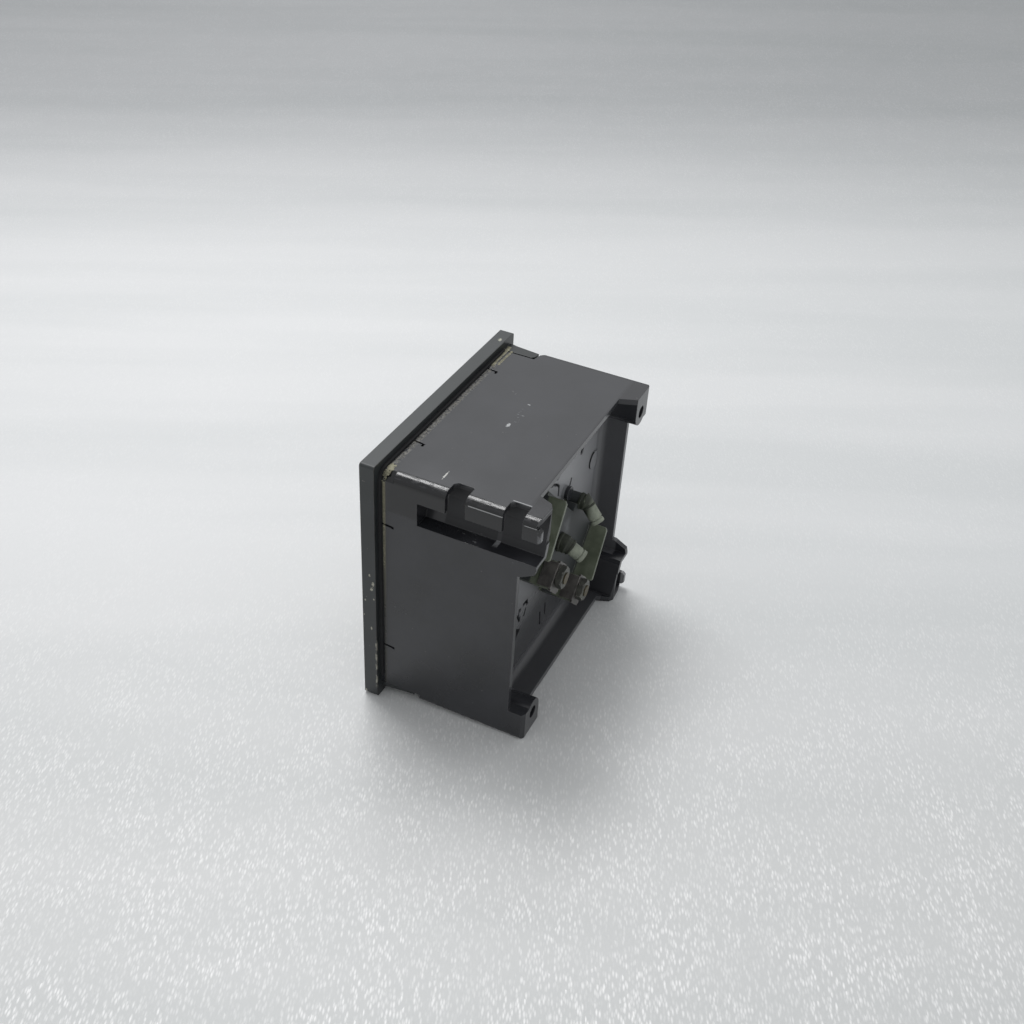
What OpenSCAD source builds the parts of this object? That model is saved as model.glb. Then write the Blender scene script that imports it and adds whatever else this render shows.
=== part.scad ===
// Panel frequency meter for a 92 mm square panel cut-out.
// +Y points to the rear, y = 0 is the panel face behind the front frame, and +Z is up.
// The origin is the middle of the cut-out, and every section is drawn in X and Z.

/* [Case] */
// Width and height of the case
case_w = 90; // [86:0.1:100]
// Thickness of the case walls
wall = 2; // [1.8:0.1:2.4]
// Distance from the panel face to the rear plate's outer face
plate_y = 38; // [35:0.1:50]
// Thickness of the rear plate
plate_t = 2; // [1.6:0.1:2.4]
// Depth of the rear recess, from the rim to the rear plate
recess = 9.5; // [9:0.1:14]
// Length of the feet behind the rim
foot_l = 5.9; // [5:0.1:9]
// Edge radius of the two corners that carry clamp channels
rail_r = 3; // [2:0.1:3.5]
// Edge radius of the two corners that carry boss feet
edge_r = 1.2; // [0.8:0.1:2]
// Radius of the cove round the rear plate
cove_r = 3; // [1:0.1:4]
// Length of a spring slit in the front edge
slit_l = 5; // [4:0.1:6]
// Width of a spring slit
slit_w = 0.8; // [0.5:0.1:1.2]
// Length of the hook at a spring slit's end
slit_hook = 1; // [0.4:0.1:2]
// Distance of each spring slit from the case's corner
slit_in = 19.6; // [18:0.1:24]
// Depth of the shallow marks in the rear plate
mark_t = 0.8; // [0.4:0.1:1]
// Diameter of the moulded pillars inside the case
pillar_case_d = 6; // [5.4:0.1:6.6]

/* [Front frame] */
// Width of the frame's lip beyond the case
frame_lip = 3; // [2.5:0.1:6]
// Thickness of the frame in front of the panel
frame_t = 5; // [4.5:0.1:8]
// Corner radius of the frame
frame_r = 1; // [0.5:0.1:2.5]
// Distance of the window pane's edge inside the case's outer face
window_in = 3; // [2.6:0.1:4]
// Thickness of the window pane
window_t = 2; // [1.5:0.1:2.4]
// Width of the ledge that the pane rests on
ledge = 1.8; // [1.4:0.1:2.4]
// Wall thickness of the spigot that enters the case
spigot_t = 1.6; // [1.2:0.1:2]
// Depth that the spigot enters the case
spigot_l = 4.6; // [3.5:0.1:5]
// Width of a corner tongue
tongue_w = 5; // [4:0.1:6]
// Length of a corner tongue
tongue_l = 12; // [8:0.5:13]
// Distance that the cover over the movement extends beyond the yoke ring
mask_margin = 1.5; // [0.5:0.1:3]
// Thickness of the movement cover
mask_t = 1.6; // [1.2:0.1:1.8]
// Width of the gasket strip behind the frame
gasket_w = 1; // [0.6:0.1:2]
// Height of the gasket above the case wall
gasket_h = 0.9; // [0.6:0.1:2]
// Gap between pieces that slide into each other
fit = 0.2; // [0.1:0.05:0.4]

/* [Clamp channels] */
// Thickness of the web between a channel and the inside
web_t = 1.5; // [1.2:0.1:1.8]
// Thickness of the rail over a channel
rail_t = 1.8; // [1.4:0.1:2.2]
// Distance from the panel face to the closed front end of a channel
channel_y = 13.2; // [12:0.1:16]
// Height of the rail's side, from the corner down
rail_h = 7.4; // [7:0.1:8.2]
// Height of the side opening below the rail
slot_h = 8.3; // [7.5:0.1:9.2]
// Distance between the rim and the rear notch
notch_rim = 6.15; // [4.5:0.1:8]
// Distance between the two notches
notch_pitch = 18.75; // [14:0.1:20]
// Width of a notch along the rail
notch_w = 6.5; // [5:0.1:8]
// Depth of a notch into the top face
notch_d = 6.8; // [6:0.1:7.5]
// Distance that the rail's end stands out behind the feet
rail_out = 0.6; // [0.2:0.1:2]
// Width of the foot's thin ear beyond the channel
ear_w = 4; // [2:0.1:6]

/* [Boss feet] */
// Distance of a boss hole from the case's outer faces
boss_in = 7.2; // [6.8:0.1:8]
// Radius of a boss
boss_r = 4.8; // [4.3:0.1:5.3]
// Diameter of the screw hole in a boss
boss_hole = 4.4; // [3.2:0.1:4.9]
// Depth of the screw hole
boss_depth = 12; // [8:0.5:14]

/* [Terminals] */
// Length of the terminal block over its end walls
block_l = 60; // [54:0.1:66]
// Width of the terminal block
block_w = 26; // [24:0.1:28.6]
// Height of the block above the rear plate
block_h = 4.5; // [3.5:0.1:5.5]
// Shift of the block's middle along its length
block_u = -1.5; // [-3:0.1:3]
// Shift of the block's middle across its length
block_v = -4.2; // [-6:0.1:0]
// Width of an end wall
end_w = 19.8; // [16:0.1:22]
// Thickness of an end wall
end_t = 1.3; // [1:0.1:2]
// Height of an end wall above the block
end_h = 7.2; // [4:0.1:9]
// Shift of an end wall along its own plane
end_shift = 1.2; // [0:0.1:2]
// Distance between the two terminals
terminal_gap = 30.2; // [27:0.1:34]
// Distance of the terminals from the block's middle line
terminal_out = 13.4; // [12:0.1:14.4]
// Diameter of a terminal stud
stud_d = 4; // [3:0.1:5]
// Height of a terminal's seat above the block
seat_h = 7.4; // [5.5:0.1:8]
// Gap between a terminal's seat and the clamp plate's bent sides
seat_gap = 0.2; // [0.1:0.05:0.4]
// Width of a clamp plate
clamp_w = 9.4; // [8.4:0.1:10.4]
// Height of a clamp plate
clamp_l = 10.2; // [8.4:0.1:11]
// Shift of a clamp plate away from the block's middle line
clamp_shift = 0.6; // [0:0.1:1]
// Thickness of a clamp plate
clamp_t = 0.8; // [0.6:0.1:1]
// Length of a clamp plate's bent sides
clamp_side = 4; // [3:0.1:5]
// Width of a nut's wall round its stud
nut_wall = 1.5; // [1.2:0.1:2]
// Thickness of the nut that holds a stud from inside
lock_t = 3; // [2:0.1:4]
// Thickness of a terminal nut
nut_t = 2.2; // [1.8:0.1:4]
// Diameter of a lead's sleeve
lead_d = 4.8; // [4.4:0.1:5.8]
// Wall thickness of a lead's sleeve
sleeve_t = 0.8; // [0.6:0.1:1.2]
// Length of the upper lead's sleeve
lead_a = 8.1; // [6:0.1:11]
// Length of the lower lead's sleeve
lead_b = 7.4; // [6:0.1:12]
// Diameter of the round lug on the rear plate
lug_d = 5; // [4:0.1:5.4]
// Height of the round lug
lug_h = 2.3; // [1:0.1:4]
// Place where the block's upper side steps out, along its length
step_u = 3.4; // [3.2:0.1:4]

/* [Scale and pointer] */
// Distance of the movement's axis from the case's outer faces
axis_in = 20; // [19.5:0.1:24]
// Distance from the panel face to the scale plate
dial_y = 6; // [5.5:0.1:6.6]
// Gap between the scale plate and the case wall
dial_gap = 0.5; // [0.3:0.1:1.5]
// Thickness of the scale plate
dial_t = 0.8; // [0.5:0.1:1.2]
// Gap between the yoke ring and the opening in the scale plate
dial_clear = 1.1; // [0.6:0.1:2]
// Distance from the scale plate to the pointer
pointer_gap = 1.6; // [1.4:0.05:2]
// Thickness of the pointer
pointer_t = 0.5; // [0.3:0.05:0.6]
// Length of the pointer from the axis
pointer_l = 54; // [45:0.5:60]
// Radius of the pointer's hub
pointer_hub = 2.6; // [2.2:0.1:3]
// Length of the pointer's tails
tail_l = 7; // [6.6:0.1:7.6]
// Sweep of the scale in degrees
sweep = 90; // [80:1:90]
// Radius at which the pointer stops stand
stop_r = 27; // [24:0.5:34]
// Diameter of a pointer stop
stop_d = 1.2; // [0.8:0.1:1.5]
// Angle that the pointer travels past each end of the scale
over = 2; // [1:0.5:3]

/* [Movement] */
// Distance from the panel face to the core magnet
core_y = 11.3; // [11:0.1:12.4]
// Radius of the core magnet
core_r = 9.2; // [8.2:0.1:10.2]
// Clearance between the coil and the core
coil_gap = 0.6; // [0.5:0.05:0.7]
// Thickness of the coil former
former_t = 0.5; // [0.3:0.05:0.6]
// Thickness of the winding
winding_t = 1.2; // [0.8:0.05:1.35]
// Width of the coil
coil_w = 5; // [4:0.1:5.6]
// Clearance between the coil and the yoke ring
yoke_gap = 0.4; // [0.3:0.05:0.8]
// Thickness of the yoke ring
yoke_t = 3.8; // [3.4:0.1:4.4]
// Thickness of the chassis plate
chassis_t = 2; // [1.5:0.1:2.4]
// Depth of the cup on the chassis plate
cup_l = 6.3; // [6:0.1:6.6]
// Wall thickness of the cup
cup_t = 1.5; // [1.2:0.1:1.8]
// Diameter of the spindle
spindle_d = 1.4; // [1:0.1:1.6]
// Diameter of the foot that joins a half spindle to the coil
flange_d = 4; // [3:0.1:4.6]
// Thickness of the front bridge
bridge_t = 1.4; // [1.2:0.1:1.5]
// Diameter of the bearing boss on the bridge
bridge_boss_d = 5; // [4.4:0.1:5.6]
// Diameter of a jewel screw
jewel_d = 2.6; // [2.4:0.1:3]
// Diameter of a bridge pillar
pillar_d = 3.2; // [2.6:0.1:3.4]
// Distance between the zero screw and the movement's axis
zero_out = 12; // [11.6:0.1:12.4]
// Diameter of the zero screw
zero_d = 6; // [5:0.1:6.6]
// Throw of the zero screw's pin
zero_throw = 1.6; // [1.2:0.1:1.8]
// Diameter of the zero screw's pin
pin_d = 1.2; // [1:0.1:1.4]
// Radial clearance of a part that turns in a hole
run_gap = 0.05; // [0.02:0.01:0.1]
// Thickness of the zero lever
lever_t = 0.8; // [0.6:0.05:0.85]
// Radius at which a hairspring's outer end is held
spring_r = 6.6; // [6.2:0.1:6.8]
// Turns of a hairspring
spring_turns = 4; // [3:1:5]
// Width of a hairspring's strip
spring_h = 0.6; // [0.4:0.05:0.7]
// Thickness of a hairspring's strip
spring_t = 0.25; // [0.15:0.05:0.3]

/* [Circuit board] */
// Gap between the case's outer side face and the board
board_side = 11.5; // [11:0.1:16]
// Gap between the case's outer top face and the board
board_top = 5; // [3:0.1:8]
// Gap between the board and the yoke ring
board_gap = 5.5; // [4:0.1:8]
// Height of the parts' space between the scale plate and the board
board_front = 13.6; // [12.5:0.1:15]
// Thickness of the board
board_t = 1.6; // [1:0.1:2]
// Distance of the board's screws from its edges
board_in = 3.5; // [3:0.1:5]
// Diameter of the board's and dial's screws
screw_d = 2.5; // [2:0.1:2.8]
// Diameter of a screw's head
head_d = 4.6; // [4:0.1:5.4]
// Height of a screw's head
head_t = 1.3; // [1:0.1:1.6]
// Length of a screw's thread in its pillar
grip = 7; // [5:0.5:8]
// Diameter of the chassis screws
chassis_screw_d = 3; // [2.5:0.1:3.2]
// Gap between the parts on the board
part_gap = 1; // [0.5:0.1:1.6]
// Width of the transformer
trafo_w = 20; // [16:0.1:21]
// Height of the transformer above the board
trafo_h = 11; // [8:0.1:12.2]
// Length of the transformer
trafo_l = 17; // [14:0.1:18]
// Diameter of the larger capacitors
cap_d = 8; // [6:0.1:9]
// Height of the capacitors
cap_l = 10.5; // [8:0.1:12]
// Diameter of a resistor
res_d = 2.3; // [1.8:0.1:2.6]
// Length of a resistor
res_l = 6.4; // [5:0.1:7]
// Distance between two resistors
res_pitch = 3.6; // [3:0.1:4]
// Width of the converter chip
chip_w = 10; // [8:0.1:12]
// Length of the converter chip
chip_l = 6.4; // [5:0.1:7.4]
// Height of the converter chip
chip_h = 3.4; // [2:0.1:4]

/* [Hidden] */
$fn = 48;
overlap = 1;
half = case_w / 2;
inside = case_w - 2 * wall;
plate_in = plate_y - plate_t;
rim_y = plate_y + recess;
foot_y = rim_y + foot_l;
notch_b = rim_y - notch_rim;
notch_a = notch_b - notch_pitch;
boss_c = half - boss_in;
slit_x = half - slit_in;
dial_w = inside - 2 * dial_gap;
frame_w = case_w + 2 * frame_lip;
window_w = case_w - 2 * window_in;
opening = window_w - 2 * ledge;
pane_y = fit - frame_t;
ledge_y = pane_y + window_t;
mask_y = ledge_y + mask_t;
axis = [half - axis_in, axis_in - half];
former_in = core_r + coil_gap;
coil_out = former_in + former_t + winding_t;
yoke_ri = norm([coil_out, coil_w / 2]) + yoke_gap;
yoke_ro = yoke_ri + yoke_t;
yoke_y = core_y - 0.8;
holder_w = 5.2;
chassis_y = plate_in - 1.5 - cup_l;
core_end = chassis_y - 0.6 - winding_t - former_t - coil_gap;
coil_front = core_y - coil_gap - former_t - winding_t;
coil_rear = core_end + coil_gap + former_t + winding_t;
coil_mid = (core_y + core_end) / 2;
holder_h = (core_end - core_y) * 0.64;
bridge_reach = (yoke_ri + yoke_ro) / 2;
chassis_reach = yoke_ro + 4.5;
dial_hole = yoke_ro + dial_clear;
axis_mouth = axis_in + overlap;
mask_r = norm([opening / 2 - axis[0], opening / 2 + axis[1]]) + yoke_ro + mask_margin;
zero_at = polar(axis, zero_out, -45);
zero_rim = 1;
bridge_y = 0.4;
lever_y = bridge_y + bridge_t + run_gap;
boss_l = lever_t + 3 * run_gap + 0.15;
pivot_y = bridge_y + bridge_t + boss_l + 0.2;
cup_r = spring_r + 2.4;
cup_end = plate_in - 1.5;
flange_t = 0.6;
rear_pivot_y = cup_end - cup_t - 0.6;
pointer_y = dial_y - pointer_gap - pointer_t;
spring_front_y = pointer_y + pointer_t + 0.5;
spring_rear_y = coil_rear + flange_t + 0.6;
stud_out = 0.6;
pointer_rest = 180;
seat_w = clamp_w - 2 * clamp_t - 2 * seat_gap;
nut_af = stud_d + 2 * nut_wall;
terminal_y = plate_y + block_h + seat_h;
clamp_end = terminal_y + clamp_t;
stud_end = clamp_end + nut_t + 0.4;
terminal_spots = [for (s = [-1, 1]) block_point(s * terminal_gap / 2, terminal_out)];
lug_at = block_point(0, -2.1 - block_w / 2);
lead_l = [lead_a, lead_b];
lead_spots = [block_point(8, -1.9 - block_w / 2), block_point(0.1, 1.5)];
lead_bases = [for (i = [0, 1]) [lead_spots[i][0], plate_y + block_h + 2 + i / 2, lead_spots[i][1]]];
lead_tips = lead_bases + [[0.9, 6, -6.8], [-1, 6, -4]];
dial_pillars = [[7.5 - half, half - 7.5], [half - 13.8, half - 6.4], [6.5 - half, half - 33]];
chassis_feet = [for (a = [-45, 70, 200]) polar(axis, chassis_reach, a)];
board_at = [board_side - half, axis[1] + yoke_ro - 1];
board = [axis[0] - yoke_ro - board_gap - board_at[0], half - board_top - board_at[1]];
board_y = dial_y + dial_t + board_front;
board_last = [board_at[0] + board[0] - board_in, board_at[1] + board[1] - board_in];
board_spots = [for (x = [board_at[0] + board_in, board_last[0]], z = [board_at[1] + board_in, board_last[1]])
    [x, z]];
board_mid = board_at[0] + board[0] / 2;
trafo_z = board_at[1] + board[1] - board_in - head_d / 2 - part_gap - trafo_l;
chip_z = board_at[1] + 1.4;
black = "#2b2d2f";
olive = "#5d6350";
steel = "#a9adb0";
brass = "#b39b5c";

// A point at a distance and an angle from another one.
function polar(at, r, a) = [at[0] + r * cos(a), at[1] + r * sin(a)];

// A point given along and across the terminal block, turned to X and Z.
function block_point(u, v) = let (a = u + block_u, b = v + block_v)
    [(b - a) / sqrt(2), (-a - b) / sqrt(2)];

// The flat shape lies in X and Z and is as deep as the span from y0 to y1.
module slab(y0, y1) {
    translate([0, y1, 0]) rotate([90, 0, 0]) linear_extrude(y1 - y0) children();
}

// A straight round bar along Y.
module bar(at, y0, y1, d) {
    translate([at[0], y1, at[1]]) rotate([90, 0, 0]) cylinder(h = y1 - y0, d = d);
}

// The same shape again, turned by half a turn about Y.
module both_ends() {
    children();
    rotate([0, 180, 0]) children();
}

// A square with one radius at the rail corners and another at the boss corners.
module soft_square(w, rail, boss) {
    difference() {
        square(w, center = true);
        for (x = [-1, 1], z = [-1, 1]) {
            translate([x * w / 2, z * w / 2]) square(2 * (x * z > 0 ? rail : boss), center = true);
        }
    }
    for (x = [-1, 1], z = [-1, 1]) {
        r = x * z > 0 ? rail : boss;
        translate([x * (w / 2 - r), z * (w / 2 - r)]) circle(r);
    }
}

// The inner face of a channel's web, closed far outside the case's corner.
module web_face(shift) {
    far = half + 10;
    translate([shift, shift]) polygon([[half - 9.1, far], [half - 9.1, half - rail_t],
        [half - 8.2, half - 7], [half - 6.5, half - 13.4], [half - 5.6, half - rail_h - slot_h],
        [far, half - rail_h - slot_h], [far, far]]);
}

// The hollow of a clamp channel, open to the side below the rail.
module channel_hollow() {
    difference() {
        web_face(0);
        translate([0, half - rail_t]) square([half + 20, 20]);
        translate([half - rail_t, half - rail_h]) square([20, rail_h + 20]);
    }
}

module case_shell() {
    difference() {
        slab(0, rim_y) soft_square(case_w, rail_r, edge_r);
        slab(-overlap, channel_y - web_t) soft_square(inside, 1, 1);
        slab(channel_y - web_t - overlap, plate_in) difference() {
            soft_square(inside, 1, 1);
            web_face(-web_t);
            rotate(180) web_face(-web_t);
        }
        slab(plate_y, rim_y + overlap) difference() {
            soft_square(inside, 1, 1);
            web_face(-web_t);
            rotate(180) web_face(-web_t);
        }
    }
    rear_coves();
}

// The rounded joint of the rear plate and the outer walls.
module rear_coves() {
    len = inside + wall;
    for (a = [0, 90, 180, 270]) {
        rotate([0, a, 0]) translate([-len / 2, plate_y, -half + wall]) rotate([90, 0, 90])
            linear_extrude(len) difference() {
                square(cove_r);
                translate([cove_r, cove_r]) circle(cove_r);
            }
    }
}

// The end of a channel that stands out behind the rim as a foot.
module channel_foot() {
    difference() {
        slab(plate_y, foot_y) intersection() {
            soft_square(case_w, rail_r, edge_r);
            union() {
                web_face(-web_t);
                translate([half - 9.1 - ear_w, half - wall]) square(ear_w + 9);
                translate([half - wall, half - rail_h - slot_h - ear_w - 2]) square(ear_w + 9);
            }
        }
        foot_trim_top();
        foot_trim_side();
    }
    rail_end();
}

// The rail's side stands out a little behind the foot.
module rail_end() {
    low = half - rail_h;
    high = low + 5.2;
    end = foot_y + rail_out;
    translate([half - rail_t, 0, 0]) rotate([90, 0, 90]) linear_extrude(rail_t) polygon([[rim_y - 1, low],
        [end - 0.9, low], [end, low + 0.9], [end, high - 0.9], [end - 0.9, high], [rim_y - 1, high]]);
}

// What is cut from the foot, seen from above.
module foot_trim_top() {
    out = foot_y - rim_y;
    translate([0, 0, half - 12]) linear_extrude(30) polygon([[half - 20, rim_y], [half - 13, rim_y],
        [half - 11.2, rim_y + 0.78 * out], [half - 9.5, rim_y + 0.95 * out], [half - 3.5, foot_y - 0.6],
        [half + 1, foot_y - 1.4], [half + 1, foot_y + 1], [half - 20, foot_y + 1]]);
}

// What is cut from the foot, seen from the side.
module foot_trim_side() {
    out = foot_y - rim_y;
    translate([half - 12, 0, 0]) rotate([90, 0, 90]) linear_extrude(30) polygon([[rim_y, half - 25],
        [rim_y, half - 21.5], [rim_y + 0.15 * out, half - 21.5], [rim_y + 0.92 * out, half - 19],
        [foot_y, half - 16.8], [foot_y + 5, half - 16.8], [foot_y + 5, half - 25]]);
}

module channel_cuts() {
    slab(channel_y, foot_y + rail_out + overlap) channel_hollow();
    for (y = [notch_a, notch_b]) notch(y);
    front_step();
    rail_relief();
}

// The rear half of the rail's side is set back under a thin ridge.
module rail_relief() {
    y0 = notch_a + notch_w;
    high = half - rail_h + 5.4;
    translate([half - 0.35, y0, half - rail_h - 0.1]) cube([1, foot_y - y0 + 2, 5.5]);
    translate([half - 0.3, y0, high + 0.7]) cube([1, notch_b - y0, 0.35]);
}

// A notch across the rail, with its inner corners cut off.
module notch(y) {
    reach = half - notch_d;
    translate([0, 0, half - rail_h - 0.2]) linear_extrude(rail_h + 5) polygon([[reach, y + 1.1],
        [reach + 1.2, y], [half + 1, y], [half + 1, y + notch_w], [reach + 0.6, y + notch_w],
        [reach, y + notch_w - 0.6]]);
}

// The rail begins with a small step in the corner.
module front_step() {
    slab(1.6, 5) translate([half, half]) rotate(45) square([4, 20], center = true);
}

module boss_foot_shape() {
    intersection() {
        union() {
            translate([-boss_c, boss_c]) circle(boss_r);
            translate([-boss_c - boss_r, boss_c]) square([2 * boss_r, boss_in]);
            translate([-half, boss_c]) square([boss_in, boss_in]);
            translate([-half, boss_c - boss_r + 1]) square([boss_in, boss_r]);
        }
        soft_square(case_w, rail_r, edge_r);
    }
}

module boss_foot() {
    difference() {
        slab(plate_y - overlap, foot_y) boss_foot_shape();
        translate([0, 0, boss_c - 10]) linear_extrude(30) polygon([[-half - 1, foot_y - 1.6],
            [-half + 1.6, foot_y + 0.01], [-half + 1.6, foot_y + 1], [-half - 1, foot_y + 1]]);
        bar([-boss_c, boss_c], foot_y - boss_depth, foot_y + overlap, boss_hole);
    }
    foot_brace(boss_r - boss_c);
}

// A thin brace leads from the rim to the foot's inner side.
module foot_brace(side) {
    translate([0, 0, half - wall]) linear_extrude(wall) polygon([[side - 0.5, rim_y - 1],
        [side + 2.4, rim_y - 1], [side + 2.4, rim_y], [side - 0.01, foot_y], [side - 0.5, foot_y]]);
}

// A slanting slit from the front edge, drawn on the top face, with a hook at its end.
module slit(x, hook) {
    translate([0, 0, half - wall - overlap]) linear_extrude(wall + 2 * overlap)
        polygon([[x - slit_w, -overlap], [x, -overlap], [x + 0.5, slit_l - slit_w],
            [x + 0.5 + hook, slit_l - slit_w], [x + 0.5 + hook, slit_l], [x - 0.2, slit_l]]);
}

// The top wall is open at the corner where a tongue of the front frame lies.
module tongue_gap() {
    w = tongue_w + 3 * fit;
    translate([0, 0, half - wall - fit]) linear_extrude(wall + 1) polygon([[-half + w, -overlap],
        [-half + w, tongue_l], [-half + 2, tongue_l + 0.8], [-half - 1, tongue_l + 3.8],
        [-half - 1, -overlap]]);
}

// Shallow marks on the rear plate: hooks, a dimple, bars and a wedge.
module plate_marks() {
    bar([-26.3, 23.3], plate_y - 1, plate_y + overlap, 2.8);
    slab(plate_y - mark_t, plate_y + overlap) {
        polygon([[-0.4, 23.8], [0.9, 25.2], [-1.7, 24.9], [-6.6, 21.8], [-8.2, 19.9], [-8.1, 15.5],
            [-6.9, 16.4], [-6.7, 20.1], [-5.8, 21.1], [-2.4, 23.3]]);
        polygon([[-7.1, 24.1], [-6.2, 24.8], [-4.8, 24.3], [-5.8, 23.6]]);
        polygon([[-19.2, 16.4], [-18, 17.2], [-16.8, 14.4], [-18.1, 13.4]]);
        polygon([[16, -14], [12.4, -14.2], [11.4, -17], [12.8, -17.2], [13.3, -15.6], [15.7, -15.4]]);
        polygon([[12.7, -18], [13.8, -17.5], [15.1, -20], [13.9, -21]]);
        polygon([[19.2, -14], [17.3, -14.7], [17.6, -15.9], [18.6, -16], [18.6, -18.1], [17.3, -18.3],
            [17.6, -20.6], [18.6, -20.2], [20.8, -16.4], [19.5, -15.9]]);
        polygon([[20.5, -21.9], [16.7, -24.7], [17.4, -25.3], [20.4, -26.9]]);
        polygon([[0.6, -29.5], [-0.7, -30.4], [-1.5, -37.1], [-0.2, -36.3]]);
        polygon([[-3.7, -28.6], [-4.8, -29], [-5.4, -34.6], [-4.4, -35.6]]);
    }
}

module case() {
    color(black) {
        difference() {
            union() {
                case_shell();
                both_ends() channel_foot();
                both_ends() boss_foot();
                bar([-half + wall + 5, 12.7], plate_y - overlap, plate_y + 0.6, 7);
                bar(lug_at, plate_y - overlap, plate_y + lug_h, lug_d);
                case_pillars();
            }
            both_ends() channel_cuts();
            for (a = [0, 90, 180, 270]) rotate([0, a, 0]) {
                slit(slit_x, a % 180 == 0 ? slit_hook : 0.2);
                slit(-slit_x, a % 180 == 0 ? slit_hook : 0.2);
            }
            both_ends() tongue_gap();
            plate_marks();
            case_bores();
        }
    }
}

// Moulded pillars inside the case for the dial, the chassis and the board.
module case_pillars() {
    for (p = dial_pillars) bar(p, dial_y + dial_t, plate_in + overlap, pillar_case_d);
    for (p = chassis_feet) bar(p, chassis_y + chassis_t, plate_in + overlap, pillar_case_d);
    for (p = board_spots) bar(p, board_y + board_t, plate_in + overlap, pillar_case_d);
}

module case_bores() {
    for (p = dial_pillars) bar(p, 0, dial_y + dial_t + grip, screw_d);
    for (p = chassis_feet) bar(p, 0, chassis_y + chassis_t + grip, chassis_screw_d);
    for (p = board_spots) bar(p, 0, board_y + board_t + grip, screw_d);
    for (p = terminal_spots) bar(p, plate_in - overlap, plate_y + overlap, stud_d + 0.4);
}

module bezel() {
    color(black) {
        difference() {
            slab(-frame_t, 0) soft_square(frame_w, frame_r, frame_r);
            slab(-frame_t - overlap, ledge_y) soft_square(window_w + 2 * fit, 0.8, 0.8);
            slab(ledge_y - overlap, overlap) difference() {
                soft_square(opening, 0.8, 0.8);
                mask_shape();
            }
            slab(mask_y, overlap) intersection() {
                soft_square(opening, 0.8, 0.8);
                mask_shape();
            }
            bar(zero_at, -frame_t, overlap, zero_d + 2 * run_gap);
        }
        slab(-overlap, spigot_l) difference() {
            soft_square(inside - 2 * fit, 1, 1);
            square(inside - 2 * fit - 2 * spigot_t, center = true);
        }
        both_ends() tongue();
    }
}

// The cover over the movement is part of a disc round the window's lower right corner.
module mask_shape() {
    translate([opening / 2, -opening / 2]) circle(mask_r, $fn = 96);
}

// A corner tongue of the frame fills the gap in the case's top wall, and its end is slanted.
module tongue() {
    y = tongue_l - 0.4;
    translate([0, 0, half - wall]) linear_extrude(wall) polygon([[-half, -overlap], [-half, 1.5],
        [-half + 0.4, 3], [-half + 1.4, y + 0.4], [-half + 4, y + 0.2], [-half + tongue_w, y - 0.8],
        [-half + tongue_w, -overlap]]);
}

module window() {
    color("#cfe0e4", 0.4) difference() {
        slab(pane_y, ledge_y) soft_square(window_w, 0.8, 0.8);
        bar(zero_at, -frame_t, overlap, zero_d + 0.6);
    }
}

module gasket() {
    color("#232426") slab(0, gasket_w) difference() {
        soft_square(case_w + 2 * gasket_h, rail_r + gasket_h, edge_r + gasket_h);
        soft_square(case_w, rail_r, edge_r);
        both_ends_flat() translate([-half - 3, half - tongue_w - 0.6]) square(tongue_w + 4);
    }
}

// A flat shape and the same turned by half a turn.
module both_ends_flat() {
    children();
    rotate(180) children();
}

// The terminal block lies along the diagonal between the two clamp channels.
module on_block() {
    c = block_point(0, 0);
    translate([c[0], 0, c[1]]) rotate([0, -45, 0]) mirror([1, 0, 0]) children();
}

module terminal_block() {
    color(olive) difference() {
        union() {
            on_block() slab(plate_y, plate_y + block_h) block_outline();
            on_block() for (s = [-1, 1]) end_wall(s);
            for (p = lead_bases) bar([p[0], p[2]], plate_y, p[1], lead_d + 0.6);
            on_terminals() slab(plate_y, terminal_y) translate([0, -clamp_shift])
                square([seat_w, clamp_l - 1], center = true);
        }
        for (p = terminal_spots) bar(p, plate_y - overlap, terminal_y + overlap, stud_d);
    }
}

// The block's lower side is wide all along, and its upper side steps out past the lug.
module block_outline() {
    translate([2 - block_l / 2, -block_w / 2]) square([block_l - 4, block_w / 2]);
    translate([step_u, 0]) square([block_l / 2 - 2 - step_u, block_w / 2]);
    square([block_l, end_w], center = true);
}

// An end wall leans a little higher towards the terminals.
module end_wall(side) {
    top = plate_y + block_h + end_h;
    at = side * block_l / 2 - (side > 0 ? end_t : 0);
    translate([at, 0, side * end_shift]) rotate([90, 0, 90]) linear_extrude(end_t) polygon([
        [plate_y, -end_w / 2], [plate_y, end_w / 2], [top - 1.2, end_w / 2], [top - 0.5, end_w / 2 - 0.8],
        [top + 0.6, -end_w / 2 + 0.6], [top, -end_w / 2]]);
}

module terminal_studs() {
    color(brass) for (p = terminal_spots) {
        bar(p, plate_in - lock_t - 2, stud_end, stud_d);
    }
}

// The terminals stand square to the block, near its lower edge.
module on_terminals() {
    on_block() for (u = [-1, 1]) translate([u * terminal_gap / 2, 0, -terminal_out]) children();
}

// A clamp plate with two sides bent towards the block.
module terminal_clamps() {
    color(steel) on_terminals() difference() {
        slab(terminal_y - clamp_side, clamp_end) translate([0, -clamp_shift]) clamp_outline();
        translate([-clamp_w / 2 + clamp_t, terminal_y - clamp_side - overlap, -clamp_l])
            cube([clamp_w - 2 * clamp_t, clamp_side + overlap, 2 * clamp_l]);
        bar([0, 0], terminal_y - overlap, clamp_end + overlap, stud_d);
    }
}

module clamp_outline() {
    square([clamp_w, clamp_l - 1.6], center = true);
    square([clamp_w - 1.6, clamp_l], center = true);
}

module terminal_nuts() {
    color(steel) for (p = terminal_spots) hex_nut(p, clamp_end, nut_t, nut_af, stud_d);
}

module stud_lock_nuts() {
    color(steel) for (p = terminal_spots) hex_nut(p, plate_in - lock_t, lock_t, nut_af, stud_d);
}

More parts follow.
